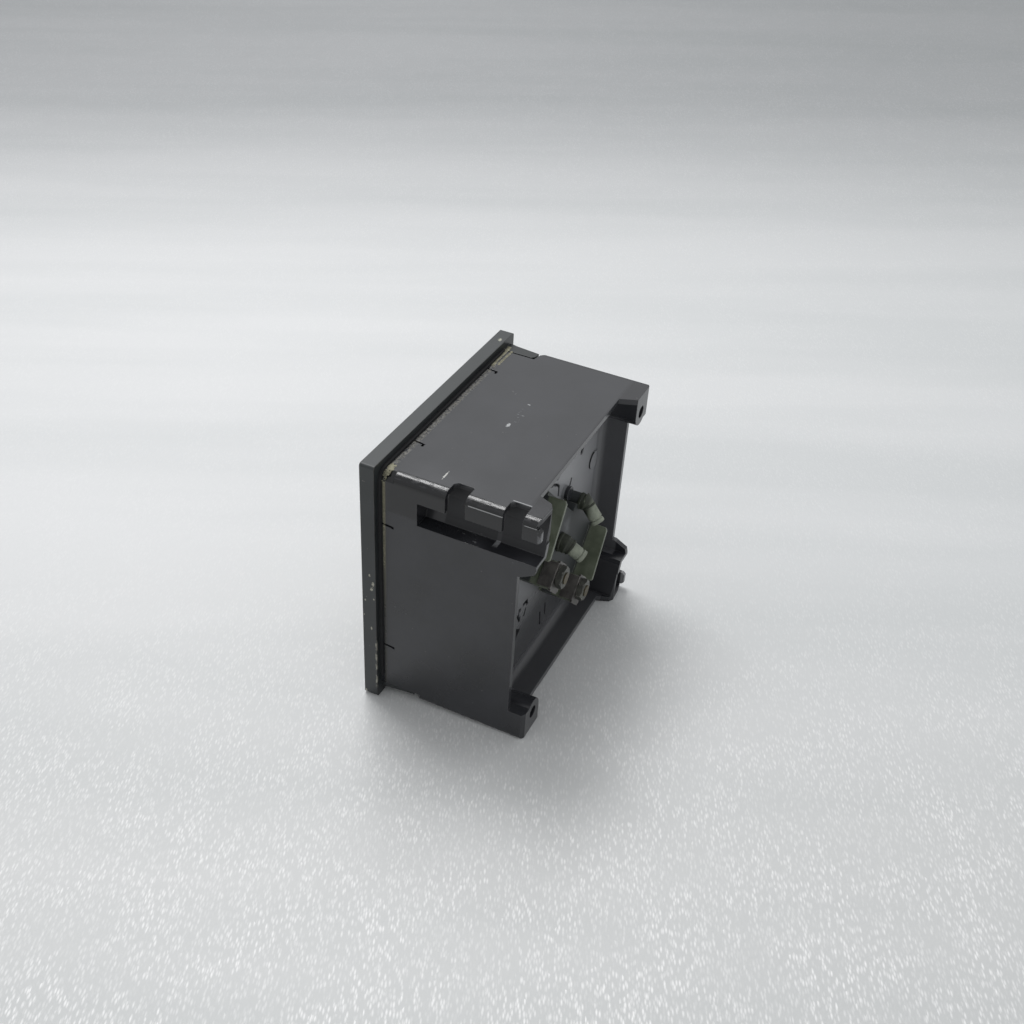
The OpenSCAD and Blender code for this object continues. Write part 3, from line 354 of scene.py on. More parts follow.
light = {
    "room": "#cfd0d1",
    "roomStrength": 0.86,
    "lamps": {      # place, width and height in metres, watts
        "wideLamp": ((-0.35, -0.50, 1.25), (0.55, 0.55), 8.6),
        "farPanel": ((-1.50, -0.72, 1.30), (1.30, 0.90), 1.2),
        "narrowStrip": ((-0.80, -0.46, 1.14), (0.30, 0.10), 1.1),
    },
}
world = bpy.data.worlds.new("paleRoom")
scene.world = world
world.use_nodes = True
tree = world.node_tree
tree.nodes.clear()
room = addNode(tree, "ShaderNodeBackground",
               {"Color": toLinear(light["room"]), "Strength": light["roomStrength"]})
addNode(tree, "ShaderNodeOutputWorld", {}, {"Surface": room.outputs[0]})
for name, (spot, (wide, high), power) in light["lamps"].items():
    lampData = bpy.data.lights.new(name, "AREA")
    lampData.shape = "RECTANGLE"
    lampData.size = wide
    lampData.size_y = high
    lampData.energy = power
    lamp = bpy.data.objects.new(name, lampData)
    scene.collection.objects.link(lamp)
    lamp.location = spot
    lamp.rotation_euler = (-Vector(spot)).to_track_quat("-Z", "Y").to_euler()
scene.view_settings.view_transform = "Standard"


# Mouldings: black ABS for the case and the front frame.

caseLook = {    # injection-moulded ABS from a polished tool: deep grey-black, satin gloss, dust and a painted sheen in the recess
    "name": "mouldedAbsCase",
    "dark": "#27282b", "light": "#2f3034", "cloud": 22.0,
    "rough": (0.17, 0.27), "grain": 0.5, "bump": 0.045, "ior": 1.56,
    "specks": {"size": 1.3, "above": 0.76, "amount": 0.25, "colour": "#8b8c8c"},
    "edge": {"radius": 0.3, "amount": 0.45, "colour": "#7c7e81"},
    "zones": [
        {   # dust and a painted sheen on the rear plate and its raised pad, fading darker towards the lower edge
            "at": (0, 38.25, 0), "reach": (40.6, 0.5, 40.6), "soft": (2.2, 0.4, 2.2), "colour": "#9c9da0",
            "amount": 0.9, "rough": 0.42, "fade": (2, -25, 7, 0.20),
        },
        {   # the inner side of the far wall and its cove
            "at": (-42.4, 43, 4), "reach": (2.2, 5.6, 37), "soft": (0.3, 0.8, 2.0), "colour": "#6a6b6e",
            "amount": 0.6, "rough": 0.4,
        },
        {   # the inner side of the lower wall
            "at": (4, 43, -42.4), "reach": (37, 5.6, 2.2), "soft": (2.0, 0.8, 0.3), "colour": "#5e5f62",
            "amount": 0.5, "rough": 0.4,
        },
        {   # painted shadow along the foot of the round pad
            "at": (-34.6, 38.3, 12.7), "reach": (3.0, 0.22, 4.5), "soft": (0.3, 0.05, 0.3),
            "colour": "#0b0b0c", "amount": 0.95, "rough": 0.6,
        },
        {   # painted dark reflection on the side of the rail
            "at": (45, 30, 37.3), "reach": (0.3, 26, 5.4), "soft": (0.3, 2.0, 1.2), "colour": "#0c0c0e",
            "amount": 0.75,
        },
        {   # painted light: the top face a little lighter, as the room above lights it
            "at": (0, 24, 45), "reach": (42.5, 22.5, 0.1), "soft": (2.0, 1.5, 0.4), "colour": "#4e5054",
            "amount": 0.34, "rough": 0.28,
        },
        {   # film of old sealant along the top edge
            "at": (6, 2.0, 45), "reach": (36, 0.45, 0.1), "soft": (2.0, 0.8, 0.3), "colour": "#94928a",
            "amount": 0.55, "rough": 0.7, "grain": 1.0, "above": 0.42, "blur": 0.2,
        },
        {   # the same film down the near side, worn away lower down
            "at": (45, 1.7, 0), "reach": (0.1, 0.3, 43.5), "soft": (0.3, 0.4, 1.0), "colour": "#86826a",
            "amount": 0.7, "rough": 0.7, "fade": (2, -12, 42, 0.12),
        },
        {   # the rail's rounded edge, polished by handling, and painted darker as a dark reflection
            "at": (43.4, 27, 43.6), "reach": (1.7, 28, 1.7), "soft": (0.3, 1.0, 0.3), "colour": "#131416",
            "amount": 0.8, "rough": 0.13,
        },
        {   # scratches that break its gloss
            "at": (43.0, 27, 44.5), "reach": (1.3, 28, 0.6), "soft": (0.3, 1.0, 0.25), "colour": "#2a2b2e",
            "amount": 1.0, "rough": 0.42, "grain": 0.7, "above": 0.5, "blur": 0.08, "stretch": (1, 0.3, 1),
        },
        {   # painted highlight on the line where that edge meets the side
            "at": (44.8, 35.8, 43.05), "reach": (0.3, 5.5, 0.12), "soft": (0.3, 0.3, 0.14),
            "colour": "#b9babb", "amount": 0.85,
        },
        {   # the same painted highlight behind the second notch
            "at": (44.9, 50.4, 42.82), "reach": (0.3, 1.8, 0.08), "soft": (0.3, 0.3, 0.12),
            "colour": "#c6c7c8", "amount": 0.85,
        },
        {   # worn edge over the second notch, with a painted highlight where it catches the light
            "at": (37.95, 44.6, 45), "reach": (0.16, 2.8, 0.2), "soft": (0.1, 0.4, 0.2), "colour": "#a9abad",
            "amount": 0.8,
        },
        {   # worn edge over the side opening, with a painted highlight where it catches the light
            "at": (45, 32.5, 32.55), "reach": (0.4, 1.8, 0.10), "soft": (0.3, 0.4, 0.12), "colour": "#9fa0a2",
            "amount": 0.7, "grain": 1.2, "above": 0.36,
        },
        {   # pale chip near the middle of the top face
            "at": (2.5, 22.6, 45), "spot": (1.35, 0.65, 1.0), "colour": "#b9bbbd", "amount": 0.9,
        },
        {   # faint scuffs beside it
            "at": (-4.0, 23.5, 45), "reach": (3.6, 0.9, 0.1), "soft": (1.2, 0.6, 0.3), "colour": "#8e9194",
            "amount": 0.55, "grain": 1.3, "above": 0.55, "stretch": (1, 0.6, 1),
        },
        {   # a small nick further along
            "at": (-11.8, 23.1, 45), "spot": (0.4, 0.6, 1.0), "colour": "#a9acae", "amount": 0.8,
        },
        {   # chip beside the rail
            "at": (36.6, 18.3, 45), "spot": (2.1, 0.32, 1.0), "colour": "#cdcdc8", "amount": 0.9,
        },
        {   # painted shade in the clamp channel under the near rail, duller there too
            "at": (39, 36.5, 36.9), "reach": (5.0, 16.5, 7.3), "soft": (0.3, 0.4, 0.3), "colour": "#1d1e22",
            "amount": 0.9, "rough": 0.5,
        },
        {   # a little painted shade in the clamp channel under the far rail, duller there too
            "at": (-39, 36.5, -36.9), "reach": (5.0, 16.5, 7.3), "soft": (0.3, 0.4, 0.3), "colour": "#2c2d31",
            "amount": 0.9, "rough": 0.5,
        },
        {   # painted highlight on the end of the near rail
            "at": (44.3, 53.6, 39.5), "reach": (0.5, 0.5, 1.6), "soft": (0.5, 0.5, 0.9), "colour": "#7b7c7f",
            "amount": 0.6, "grain": 1.6, "above": 0.36, "blur": 0.2,
        },
        {   # painted highlight on the end of the far rail
            "at": (-43.3, 53.5, -40.2), "reach": (1.3, 0.8, 2.8), "soft": (0.2, 0.4, 0.8),
            "colour": "#a0a1a3", "amount": 0.75,
        },
        {   # bright scrapes in the side opening
            "at": (45, 29.8, 30.1), "reach": (6.0, 2.8, 1.4), "soft": (0.5, 0.6, 0.6), "colour": "#8d8f90",
            "amount": 0.5, "grain": 0.9, "above": 0.64, "stretch": (1, 0.3, 1),
        },
    ],
}
frameLook = {   # the same ABS, cleaner and a little greener where hands and panel have rubbed it
    "name": "mouldedAbsFrame",
    "dark": "#262a2b", "light": "#303435", "cloud": 18.0,
    "rough": (0.34, 0.46), "grain": 0.45, "bump": 0.12, "ior": 1.54,
    "specks": {"size": 1.1, "above": 0.75, "amount": 0.4, "colour": "#9a978c"},
    "edge": {"radius": 0.4, "amount": 0.5, "colour": "#85847c"},
    "zones": [
        {   # scuffed rear edge of the frame's side
            "at": (48, -0.2, -32), "reach": (0.3, 0.1, 9), "soft": (0.4, 0.4, 3.0), "colour": "#a7a597",
            "amount": 0.85, "grain": 1.6, "above": 0.46, "stretch": (1, 1, 0.5),
        },
        {   # dust along the top
            "at": (0, -2.5, 48), "reach": (46.5, 2.2, 0.15), "soft": (1.0, 0.5, 0.3), "colour": "#55595a",
            "amount": 0.28,
        },
        {   # a drop of pale paint on the top
            "at": (-40.9, -1.9, 48), "spot": (1.0, 0.75, 1.0), "colour": "#bdbdac", "amount": 0.85,
        },
    ] + [
        {   # small chips in the same side
            "at": (48, y, z), "spot": (1.0, size * 1.15, size * 1.7), "colour": "#aaa899", "amount": 0.85,
        } for y, z, size in ((-2.2, 5.4, 0.35), (-0.9, 2.2, 0.5), (-1.5, 0.0, 0.5), (-3.9, -5.5, 0.35),
                             (-0.8, -4.2, 0.3), (-1.9, -17.0, 0.4), (-4.5, -12.0, 0.2), (-4.4, -46.8, 0.3))
    ],
}
dress(caseLook, "case")
dress(frameLook, "bezel")
dress({     # black sponge rubber, cut from sheet: matt and open-pored
    "name": "spongeRubber",
    "dark": "#141416", "light": "#232426", "cloud": 2.2,
    "rough": (0.75, 0.92), "grain": 0.5, "bump": 0.7,
}, "gasket")
print("mouldings dressed")


# Terminals.

dress({     # phenolic moulding, dull olive with paler rubbed edges
    "name": "olivePhenolic",
    "dark": "#5b6252", "light": "#757c6b", "cloud": 6.0,
    "rough": (0.36, 0.52), "grain": 0.4, "bump": 0.2,
    "edge": {"radius": 0.45, "amount": 0.9, "colour": "#a9ae9f", "wear": (0.99, 0.86)},
    "zones": [
        {   # painted shade on the floor of the terminal well, between its walls
            "at": (-2, 41, 3), "reach": (31, 1.8, 31), "soft": (0.4, 0.5, 0.4), "colour": "#34373a",
            "amount": 0.95, "rough": 0.6,
        },
        {   # a cloud of pale dust between the leads
            "at": (-6.5, 42.5, 5), "reach": (0.5, 0.5, 0.8), "soft": (3.4, 0.5, 4.2), "colour": "#7d7f83",
            "amount": 0.5, "grain": 5.0, "above": 0.36, "blur": 0.3,
        },
    ],
}, "terminal_block")
dress({     # heat-shrink sleeve, chalky grey-green
    "name": "heatShrinkSleeve",
    "dark": "#868c7e", "light": "#a2a898", "cloud": 3.0,
    "rough": (0.5, 0.7), "grain": 0.6, "bump": 0.3,
    "edge": {"radius": 0.3, "amount": 0.6, "colour": "#c9cdbf"},
    "zones": [
        {   # painted shade at the root, thinning towards the tip
            "at": (-9, 43, 4), "reach": (16, 2.7, 14), "soft": (0.5, 2.2, 0.5), "colour": "#31352c",
            "amount": 0.95,
        },
    ],
}, "lead_sleeves")
dress({     # stranded copper core, tinned and dulled
    "name": "tinnedStrand",
    "dark": "#4a4c40", "light": "#6a6c5c", "cloud": 2.0,
    "rough": (0.45, 0.6), "grain": 0.4, "bump": 0.4,
}, "lead_wires")
tarnished = {   # nickel-plated steel left bare in a workshop: brown film, its edges worn bright and lightened further by a painted highlight
    "name": "tarnishedNickel",
    "dark": "#555351", "light": "#6e6b68", "cloud": 3.0,
    "rough": (0.38, 0.52), "grain": 0.3, "bump": 0.2, "metallic": 0.6,
    "edge": {"radius": 0.25, "amount": 1.0, "colour": "#dddbd5", "wear": (0.99, 0.85)},
}
dress(tarnished, "terminal_clamps")
dress(dict(tarnished, name="nickelNut", dark="#4a4b47", light="#62635d"), "terminal_nuts", "stud_lock_nuts")
dress({     # drawn brass rod with rolled thread, gone brown
    "name": "drawnBrassStud",
    "dark": "#4b4638", "light": "#645b45", "cloud": 2.0,
    "rough": (0.4, 0.55), "grain": 0.3, "bump": 0.15, "metallic": 0.7,
    "lines": {"along": "Y", "pitch": 0.7, "depth": 3.0},
}, "terminal_studs")

boots = {       # over the bends of the leads, in millimetres: way is the lead's direction past the corner
    "upper": {"corner": (-18.10, 44.5, 8.91), "way": (0.9, 6, -6.8),
              "before": 2.4, "after": 1.7, "girth": 0.87},
    "lower": {"corner": (-0.92, 45.0, 2.90), "way": (-1, 6, -4),
              "before": 2.5, "after": 2.1, "girth": 1.0},
}
bootShape = {   # share of the way and radius: foot bead, thick neck, step down to a thinner end with its lip
    "radii": ((0.0, 2.75), (0.0, 3.30), (0.04, 3.50), (0.16, 3.50), (0.20, 3.30), (0.56, 3.25), (0.66, 2.95),
              (0.86, 2.80), (0.88, 2.98), (0.98, 2.95), (1.0, 2.85), (1.0, 2.45)),
    "rings": 26,        # for the whole way
    "sides": 36,
    "crease": 35,       # degrees past which an edge stays sharp
}
rubber = finish({       # moulded rubber, dark green and greasy
    "name": "greasyRubber",
    "dark": "#2b2f26", "light": "#3d4236", "cloud": 2.0,
    "rough": (0.42, 0.62), "grain": 0.5, "bump": 0.35,
    "edge": {"radius": 0.25, "amount": 0.5, "colour": "#7c8272"},
})


def sweptBoot(work, corner, way, before, after, girth):
    # Rings along a curve that leaves the block straight and turns the corner, closed at both ends.
    corner, rise, way = Vector(corner), Vector((0, 1, 0)), Vector(way).normalized()
    foot, end, flank = corner - rise * before, corner + way * after, rise.cross(way).normalized()
    profile = [bootShape["radii"][0]]
    for (a, fromRadius), (b, toRadius) in zip(bootShape["radii"], bootShape["radii"][1:]):
        steps = max(1, round((b - a) * bootShape["rings"]))
        profile += [(a + (b - a) * i / steps, fromRadius + (toRadius - fromRadius) * i / steps)
                    for i in range(1, steps + 1)]
    rings = []
    for t, radius in profile:
        middle = foot * (1 - t) ** 2 + corner * 2 * t * (1 - t) + end * t ** 2
        heading = ((corner - foot) * (1 - t) + (end - corner) * t).normalized()
        side = flank.cross(heading)
        turns = [math.tau * i / bootShape["sides"] for i in range(bootShape["sides"])]
        spokes = [side * math.cos(a) + flank * math.sin(a) for a in turns]
        rings.append([work.verts.new((middle + spoke * radius * girth) * mm) for spoke in spokes])
    for a, b in zip(rings, rings[1:]):
        for i in range(len(a)):
            work.faces.new((a[i], a[i - 1], b[i - 1], b[i]))
    work.faces.new(rings[0])
    work.faces.new(rings[-1][::-1])


work = bmesh.new()
for boot in boots.values():
    sweptBoot(work, **boot)
bmesh.ops.recalc_face_normals(work, faces=work.faces)
bootMesh = meshFrom(work, "leadBoots")
bootMesh.polygons.foreach_set("use_smooth", [True] * len(bootMesh.polygons))
bootMesh.set_sharp_from_angle(angle=math.radians(bootShape["crease"]))
addPiece("leadBoots", bootMesh, "meter", rubber)
print("terminals dressed")


# Scale, movement and board.

dress({     # sheet aluminium under matt white enamel, warm and even
    "name": "whiteEnamelSheet",
    "dark": "#e4e3db", "light": "#ecebe4", "cloud": 25.0,
    "rough": (0.5, 0.6), "grain": 0.3, "bump": 0.06,
}, "scale_plate")
dress({     # blackened steel screws, dark with a low sheen
    "name": "blackenedSteel",
    "dark": "#1d1d1f", "light": "#2a2a2c", "cloud": 2.0,
    "rough": (0.35, 0.5), "grain": 0.3, "bump": 0.1, "metallic": 1.0,
}, "dial_screws")
dress({     # black lacquer sprayed on aluminium, matt
    "name": "blackLacquer",
    "dark": "#0f0f10", "light": "#161617", "cloud": 6.0,
    "rough": (0.5, 0.6), "grain": 0.2, "bump": 0.05,
}, "pointer")
dress({     # moulded nylon, black and slightly waxy
    "name": "blackNylon",
    "dark": "#1b1c1e", "light": "#232427", "cloud": 4.0,
    "rough": (0.35, 0.45), "grain": 0.3, "bump": 0.1,
    "edge": {"radius": 0.15, "amount": 0.4, "colour": "#6a6c6e"},
}, "zero_screw")
dress({     # zinc die casting, dull with a granular skin
    "name": "dieCastZinc",
    "dark": "#8d8f8e", "light": "#a6a8a6", "cloud": 5.0,
    "rough": (0.4, 0.55), "grain": 0.4, "bump": 0.3, "metallic": 1.0,
}, "chassis")
bareSteel = {   # zinc-plated steel, bluish and bright
    "name": "zincPlatedSteel",
    "dark": "#a3a7ab", "light": "#bfc3c6", "cloud": 3.0,
    "rough": (0.25, 0.4), "grain": 0.2, "bump": 0.1, "metallic": 1.0,
}
dress(bareSteel, "chassis_screws", "board_screws", "pointer_stops", "spindle", "zero_lever")
dress(dict(bareSteel, name="turnedSteel", dark="#85888a", light="#9fa2a4",
           lines={"along": "Y", "pitch": 0.4, "depth": 1.5}), "yoke_ring")
dress({     # sintered magnet, grey and slightly grainy
    "name": "castAlnico",
    "dark": "#5c5c5e", "light": "#757577", "cloud": 3.0,
    "rough": (0.45, 0.6), "grain": 0.3, "bump": 0.4, "metallic": 1.0,
}, "core_magnet")
dress({     # pressed aluminium, pale with a soft sheen
    "name": "pressedAluminium",
    "dark": "#b9bab8", "light": "#cfd0ce", "cloud": 6.0,
    "rough": (0.3, 0.45), "grain": 0.3, "bump": 0.1, "metallic": 1.0,
}, "core_holder", "coil_former")
turnedBrass = {     # turned brass, warm with fine rings
    "name": "turnedBrass",
    "dark": "#b8964f", "light": "#cdac66", "cloud": 4.0,
    "rough": (0.22, 0.35), "grain": 0.2, "bump": 0.1, "metallic": 1.0,
}
dress(turnedBrass, "front_bridge", "jewel_screws", "balance_weights", "spring_stud")
dress(dict(turnedBrass, name="phosphorBronzeStrip", dark="#a9733f", light="#c08a52"),
      "front_hairspring", "rear_hairspring")
dress({     # enamelled copper wire, wound in fine turns
    "name": "enamelledCopper",
    "dark": "#6b2f17", "light": "#8e4524", "cloud": 3.0,
    "rough": (0.25, 0.4), "grain": 0.2, "bump": 0.6,
    "lines": {"along": "Y", "pitch": 0.25, "depth": 4.0},
}, "coil_winding")
dress({     # glass-epoxy laminate under green solder resist
    "name": "greenLaminate",
    "dark": "#1d4a2a", "light": "#265c35", "cloud": 6.0,
    "rough": (0.3, 0.45), "grain": 0.8, "bump": 0.15,
}, "circuit_board")
dress({     # stacked silicon-steel laminations, blued
    "name": "steelLaminations",
    "dark": "#4b4d52", "light": "#62656a", "cloud": 4.0,
    "rough": (0.4, 0.6), "grain": 0.3, "bump": 0.6, "metallic": 1.0,
    "lines": {"along": "X", "pitch": 0.5, "depth": 4.0},
}, "transformer")
dress({     # shrunk PVC sleeve, smooth and glossy blue
    "name": "blueSleeving",
    "dark": "#1c3260", "light": "#27407a", "cloud": 5.0,
    "rough": (0.25, 0.35), "grain": 0.3, "bump": 0.08,
}, "capacitors")
dress({     # dipped ceramic coat, sandy and nearly matt
    "name": "ceramicCoat",
    "dark": "#b08a58", "light": "#c8a272", "cloud": 1.5,
    "rough": (0.35, 0.5), "grain": 0.3, "bump": 0.1,
}, "resistors")
dress({     # epoxy moulding compound, dull black
    "name": "epoxyMoulding",
    "dark": "#161617", "light": "#1f1f21", "cloud": 3.0,
    "rough": (0.55, 0.7), "grain": 0.25, "bump": 0.25,
}, "converter_chip")

pane = {        # thin, so it shifts nothing behind it and only its coat has the index of acrylic
    "clearness": 0.5,
    "coatIor": 1.49, "coatRough": 0.02,
    "scratchTurn": 0.6,                     # radians
    "scratchScale": (40.0, 40.0, 900.0),    # per metre
    "scratchSpan": (0.66, 0.72),            # noise over which a scratch begins
    "scratchRough": 0.10,
}


def castAcrylic():
    # Cast acrylic pane: clear, sharp reflections, a few hairline scratches.
    material, tree = newMaterial("clearAcrylic")
    place = addNode(tree, "ShaderNodeTexCoord").outputs["Object"]
    streak = addNode(tree, "ShaderNodeMapping",
                     {"Rotation": (0, pane["scratchTurn"], 0), "Scale": pane["scratchScale"]},
                     {"Vector": place}).outputs[0]
    scratch = addNode(tree, "ShaderNodeTexNoise", {"Scale": 1.0, "Detail": 2.0},
                      {"Vector": streak}).outputs["Fac"]
    start, end = pane["scratchSpan"]
    haze = addNode(tree, "ShaderNodeMapRange", {1: start, 2: end, 4: pane["scratchRough"]},
                   {0: scratch}).outputs[0]
    shader = addNode(tree, "ShaderNodeBsdfPrincipled", {
        "Base Color": toLinear("#ffffff"), "IOR": 1.0, "Alpha": pane["clearness"], "Transmission Weight": 1.0,
        "Coat Weight": 1.0, "Coat IOR": pane["coatIor"], "Coat Roughness": pane["coatRough"],
    }, {"Roughness": haze})
    addNode(tree, "ShaderNodeOutputMaterial", {}, {"Surface": shader.outputs[0]})
    return material


paint(nodes["window"].data, castAcrylic())
print("movement and board dressed")


# Dial print: an arc with ticks and plain numbers, on the front of the scale plate.

scale = {
    "axis": (0.025, -0.025),        # x and z of the movement's axis
    "start": 180.0, "sweep": 90.0,  # degrees, from the left round to the top
    "first": 45, "last": 55,
    "arc": 52.0, "arcWidth": 0.35,  # millimetres from here on
    "numberRadius": 61.3, "numberHeight": 3.7,
    "unitAt": (2.0, -3.0), "unitHeight": 6.0,
    "ink": 0.03,
    "inkStep": 0.2,                 # share by which each coarser row of ticks is thicker
    "fontShare": 1.42,              # size of the letters for each millimetre of a digit's height
    "arcSteps": 90,
}
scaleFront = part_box("scale_plate")[0].y
inkMiddle = scaleFront - scale["ink"] * mm / 2
count = scale["last"] - scale["first"]
ink = finish({      # screen-printed black ink, matt
    "name": "screenInk",
    "dark": "#151515", "light": "#1e1e1e", "cloud": 4.0,
    "rough": (0.55, 0.7), "grain": 0.2, "bump": 0.05,
})


def openTree(name, inputs):
    # A Geometry Nodes tree with named inputs, their identifiers, and what the inputs give inside it.
    tree = bpy.data.node_groups.new(name, "GeometryNodeTree")
    face = tree.interface
    face.new_socket("Geometry", in_out="INPUT", socket_type="NodeSocketGeometry")
    sizes = {}
    for label, kind in inputs + [("Material", "Material")]:
        sizes[label] = face.new_socket(label, in_out="INPUT", socket_type="NodeSocket" + kind).identifier
    face.new_socket("Geometry", in_out="OUTPUT", socket_type="NodeSocketGeometry")
    return tree, sizes, addNode(tree, "NodeGroupInput").outputs


def closeTree(tree, row, material):
    real = addNode(tree, "GeometryNodeRealizeInstances", {}, {"Geometry": row.outputs[0]})
    coated = addNode(tree, "GeometryNodeSetMaterial", {},
                     {"Geometry": real.outputs[0], "Material": material})
    tree.links.new(coated.outputs[0], addNode(tree, "NodeGroupOutput").inputs[0])


def tickTree():
    tree, sizes, given = openTree("tickRow", [
        ("Count", "Int"), ("Start", "Float"), ("Sweep", "Float"), ("Radius", "Float"),
        ("Length", "Float"), ("Width", "Float"), ("Ink", "Float")])
    line = addNode(tree, "GeometryNodeMeshLine", {"Offset": (0, 0, 0)}, {"Count": given["Count"]})
    index = addNode(tree, "GeometryNodeInputIndex").outputs[0]
    steps = addNode(tree, "ShaderNodeMath", {"operation": "SUBTRACT", 1: 1.0}, {0: given["Count"]}).outputs[0]
    share = addNode(tree, "ShaderNodeMath", {"operation": "DIVIDE"}, {0: index, 1: steps}).outputs[0]
    turn = addNode(tree, "ShaderNodeMath", {"operation": "MULTIPLY"},
                   {0: share, 1: given["Sweep"]}).outputs[0]
    angle = addNode(tree, "ShaderNodeMath", {"operation": "SUBTRACT"},
                    {0: given["Start"], 1: turn}).outputs[0]
    middle = addNode(tree, "ShaderNodeMath", {"operation": "MULTIPLY_ADD", 1: 0.5},
                     {0: given["Length"], 2: given["Radius"]}).outputs[0]
    ahead = addNode(tree, "ShaderNodeMath", {"operation": "COSINE"}, {0: angle}).outputs[0]
    above = addNode(tree, "ShaderNodeMath", {"operation": "SINE"}, {0: angle}).outputs[0]
    x = addNode(tree, "ShaderNodeMath", {"operation": "MULTIPLY"}, {0: ahead, 1: middle}).outputs[0]
    z = addNode(tree, "ShaderNodeMath", {"operation": "MULTIPLY"}, {0: above, 1: middle}).outputs[0]
    spot = addNode(tree, "ShaderNodeCombineXYZ", {}, {0: x, 2: z}).outputs[0]
    moved = addNode(tree, "GeometryNodeSetPosition", {}, {"Geometry": line.outputs[0], "Position": spot})
    back = addNode(tree, "ShaderNodeMath", {"operation": "MULTIPLY", 1: -1.0}, {0: angle}).outputs[0]
    facing = addNode(tree, "ShaderNodeCombineXYZ", {}, {1: back}).outputs[0]
    barSize = addNode(tree, "ShaderNodeCombineXYZ", {},
                      {0: given["Length"], 1: given["Ink"], 2: given["Width"]}).outputs[0]
    bar = addNode(tree, "GeometryNodeMeshCube", {}, {"Size": barSize})
    row = addNode(tree, "GeometryNodeInstanceOnPoints", {},
                  {"Points": moved.outputs[0], "Instance": bar.outputs[0], "Rotation": facing})
    closeTree(tree, row, given["Material"])
    return tree, sizes


def grow(tree, sizes, values, material):
    # Runs a Geometry Nodes tree on an empty mesh and returns the plain mesh it makes.
    seed = bpy.data.objects.new("seed", bpy.data.meshes.new("seed"))
    scene.collection.objects.link(seed)
    modifier = seed.modifiers.new("tree", "NODES")
    modifier.node_group = tree
    for name, value in values.items():
        modifier[sizes[name]] = value
    modifier[sizes["Material"]] = material
    return plainMesh(seed)


def joined(name, meshes):
    whole = bmesh.new()
    for mesh in meshes:
        whole.from_mesh(mesh)
    return meshFrom(whole, name)


def onDial(radius, step, steps):
    # x and z of a point at a radius in millimetres, so many steps along the sweep.
    a = math.radians(scale["start"] - scale["sweep"] * step / steps)
    return scale["axis"][0] + radius * mm * math.cos(a), scale["axis"][1] + radius * mm * math.sin(a)


def arcBand():
    band = bmesh.new()
    inner, outer = scale["arc"] - scale["arcWidth"], scale["arc"]
    front, back = scaleFront - scale["ink"] * mm, scaleFront
    rings = []
    for i in range(scale["arcSteps"] + 1):
        ring = []
        for radius, y in ((inner, front), (outer, front), (outer, back), (inner, back)):
            x, z = onDial(radius, i, scale["arcSteps"])
            ring.append(band.verts.new((x, y, z)))
        rings.append(ring)
    for a, b in zip(rings, rings[1:]):
        for i in range(4):
            band.faces.new((a[i], a[(i + 1) % 4], b[(i + 1) % 4], b[i]))
    band.faces.new(rings[0][::-1])
    band.faces.new(rings[-1])
    bmesh.ops.recalc_face_normals(band, faces=band.faces)
    return meshFrom(band, "arcBand")


ticks, tickSizes = tickTree()
tickRows = {     # how many, how long and how wide: tenths, halves and whole units
    "tenths": (count * 10 + 1, 2.4, 0.18),
    "halves": (count * 2 + 1, 3.6, 0.30),
    "units": (count + 1, 5.2, 0.55),
}
printed = []
for number, length, width in tickRows.values():
    row = grow(ticks, tickSizes, {
        "Count": number, "Start": math.radians(scale["start"]), "Sweep": math.radians(scale["sweep"]),
        "Radius": scale["arc"] * mm, "Length": length * mm, "Width": width * mm,
        "Ink": scale["ink"] * mm * (1 + scale["inkStep"] * len(printed)),
    }, ink)
    row.transform(Matrix.Translation((scale["axis"][0], inkMiddle, scale["axis"][1])))
    printed.append(row)
printed.append(arcBand())
addPiece("scaleTicks", joined("scaleTicks", printed), "meter", ink)


def lettering(words, height, x, z):
    # Built-in letters, thickened to a film of ink, facing the front.
    curve = bpy.data.curves.new("words", "FONT")
    curve.body = words
    curve.size = height * mm * scale["fontShare"]
    curve.align_x = "CENTER"
    curve.align_y = "CENTER"
    curve.extrude = scale["ink"] * mm / 2
    curve.resolution_u = 6
    holder = bpy.data.objects.new("words", curve)
    scene.collection.objects.link(holder)
    mesh = plainMesh(holder)
    mesh.transform(Matrix.Translation((x, inkMiddle, z)) @ Matrix.Rotation(math.pi / 2, 4, "X"))
    return mesh


words = [lettering(str(scale["first"] + i), scale["numberHeight"], *onDial(scale["numberRadius"], i, count))
         for i in range(count + 1)]
words.append(lettering("Hz", scale["unitHeight"], scale["unitAt"][0] * mm, scale["unitAt"][1] * mm))
addPiece("scaleNumbers", joined("scaleNumbers", words), "meter", ink)
print("dial printed")


# Old sealant left where the gasket strip met the case: crumbs strewn along straight lines, in millimetres.

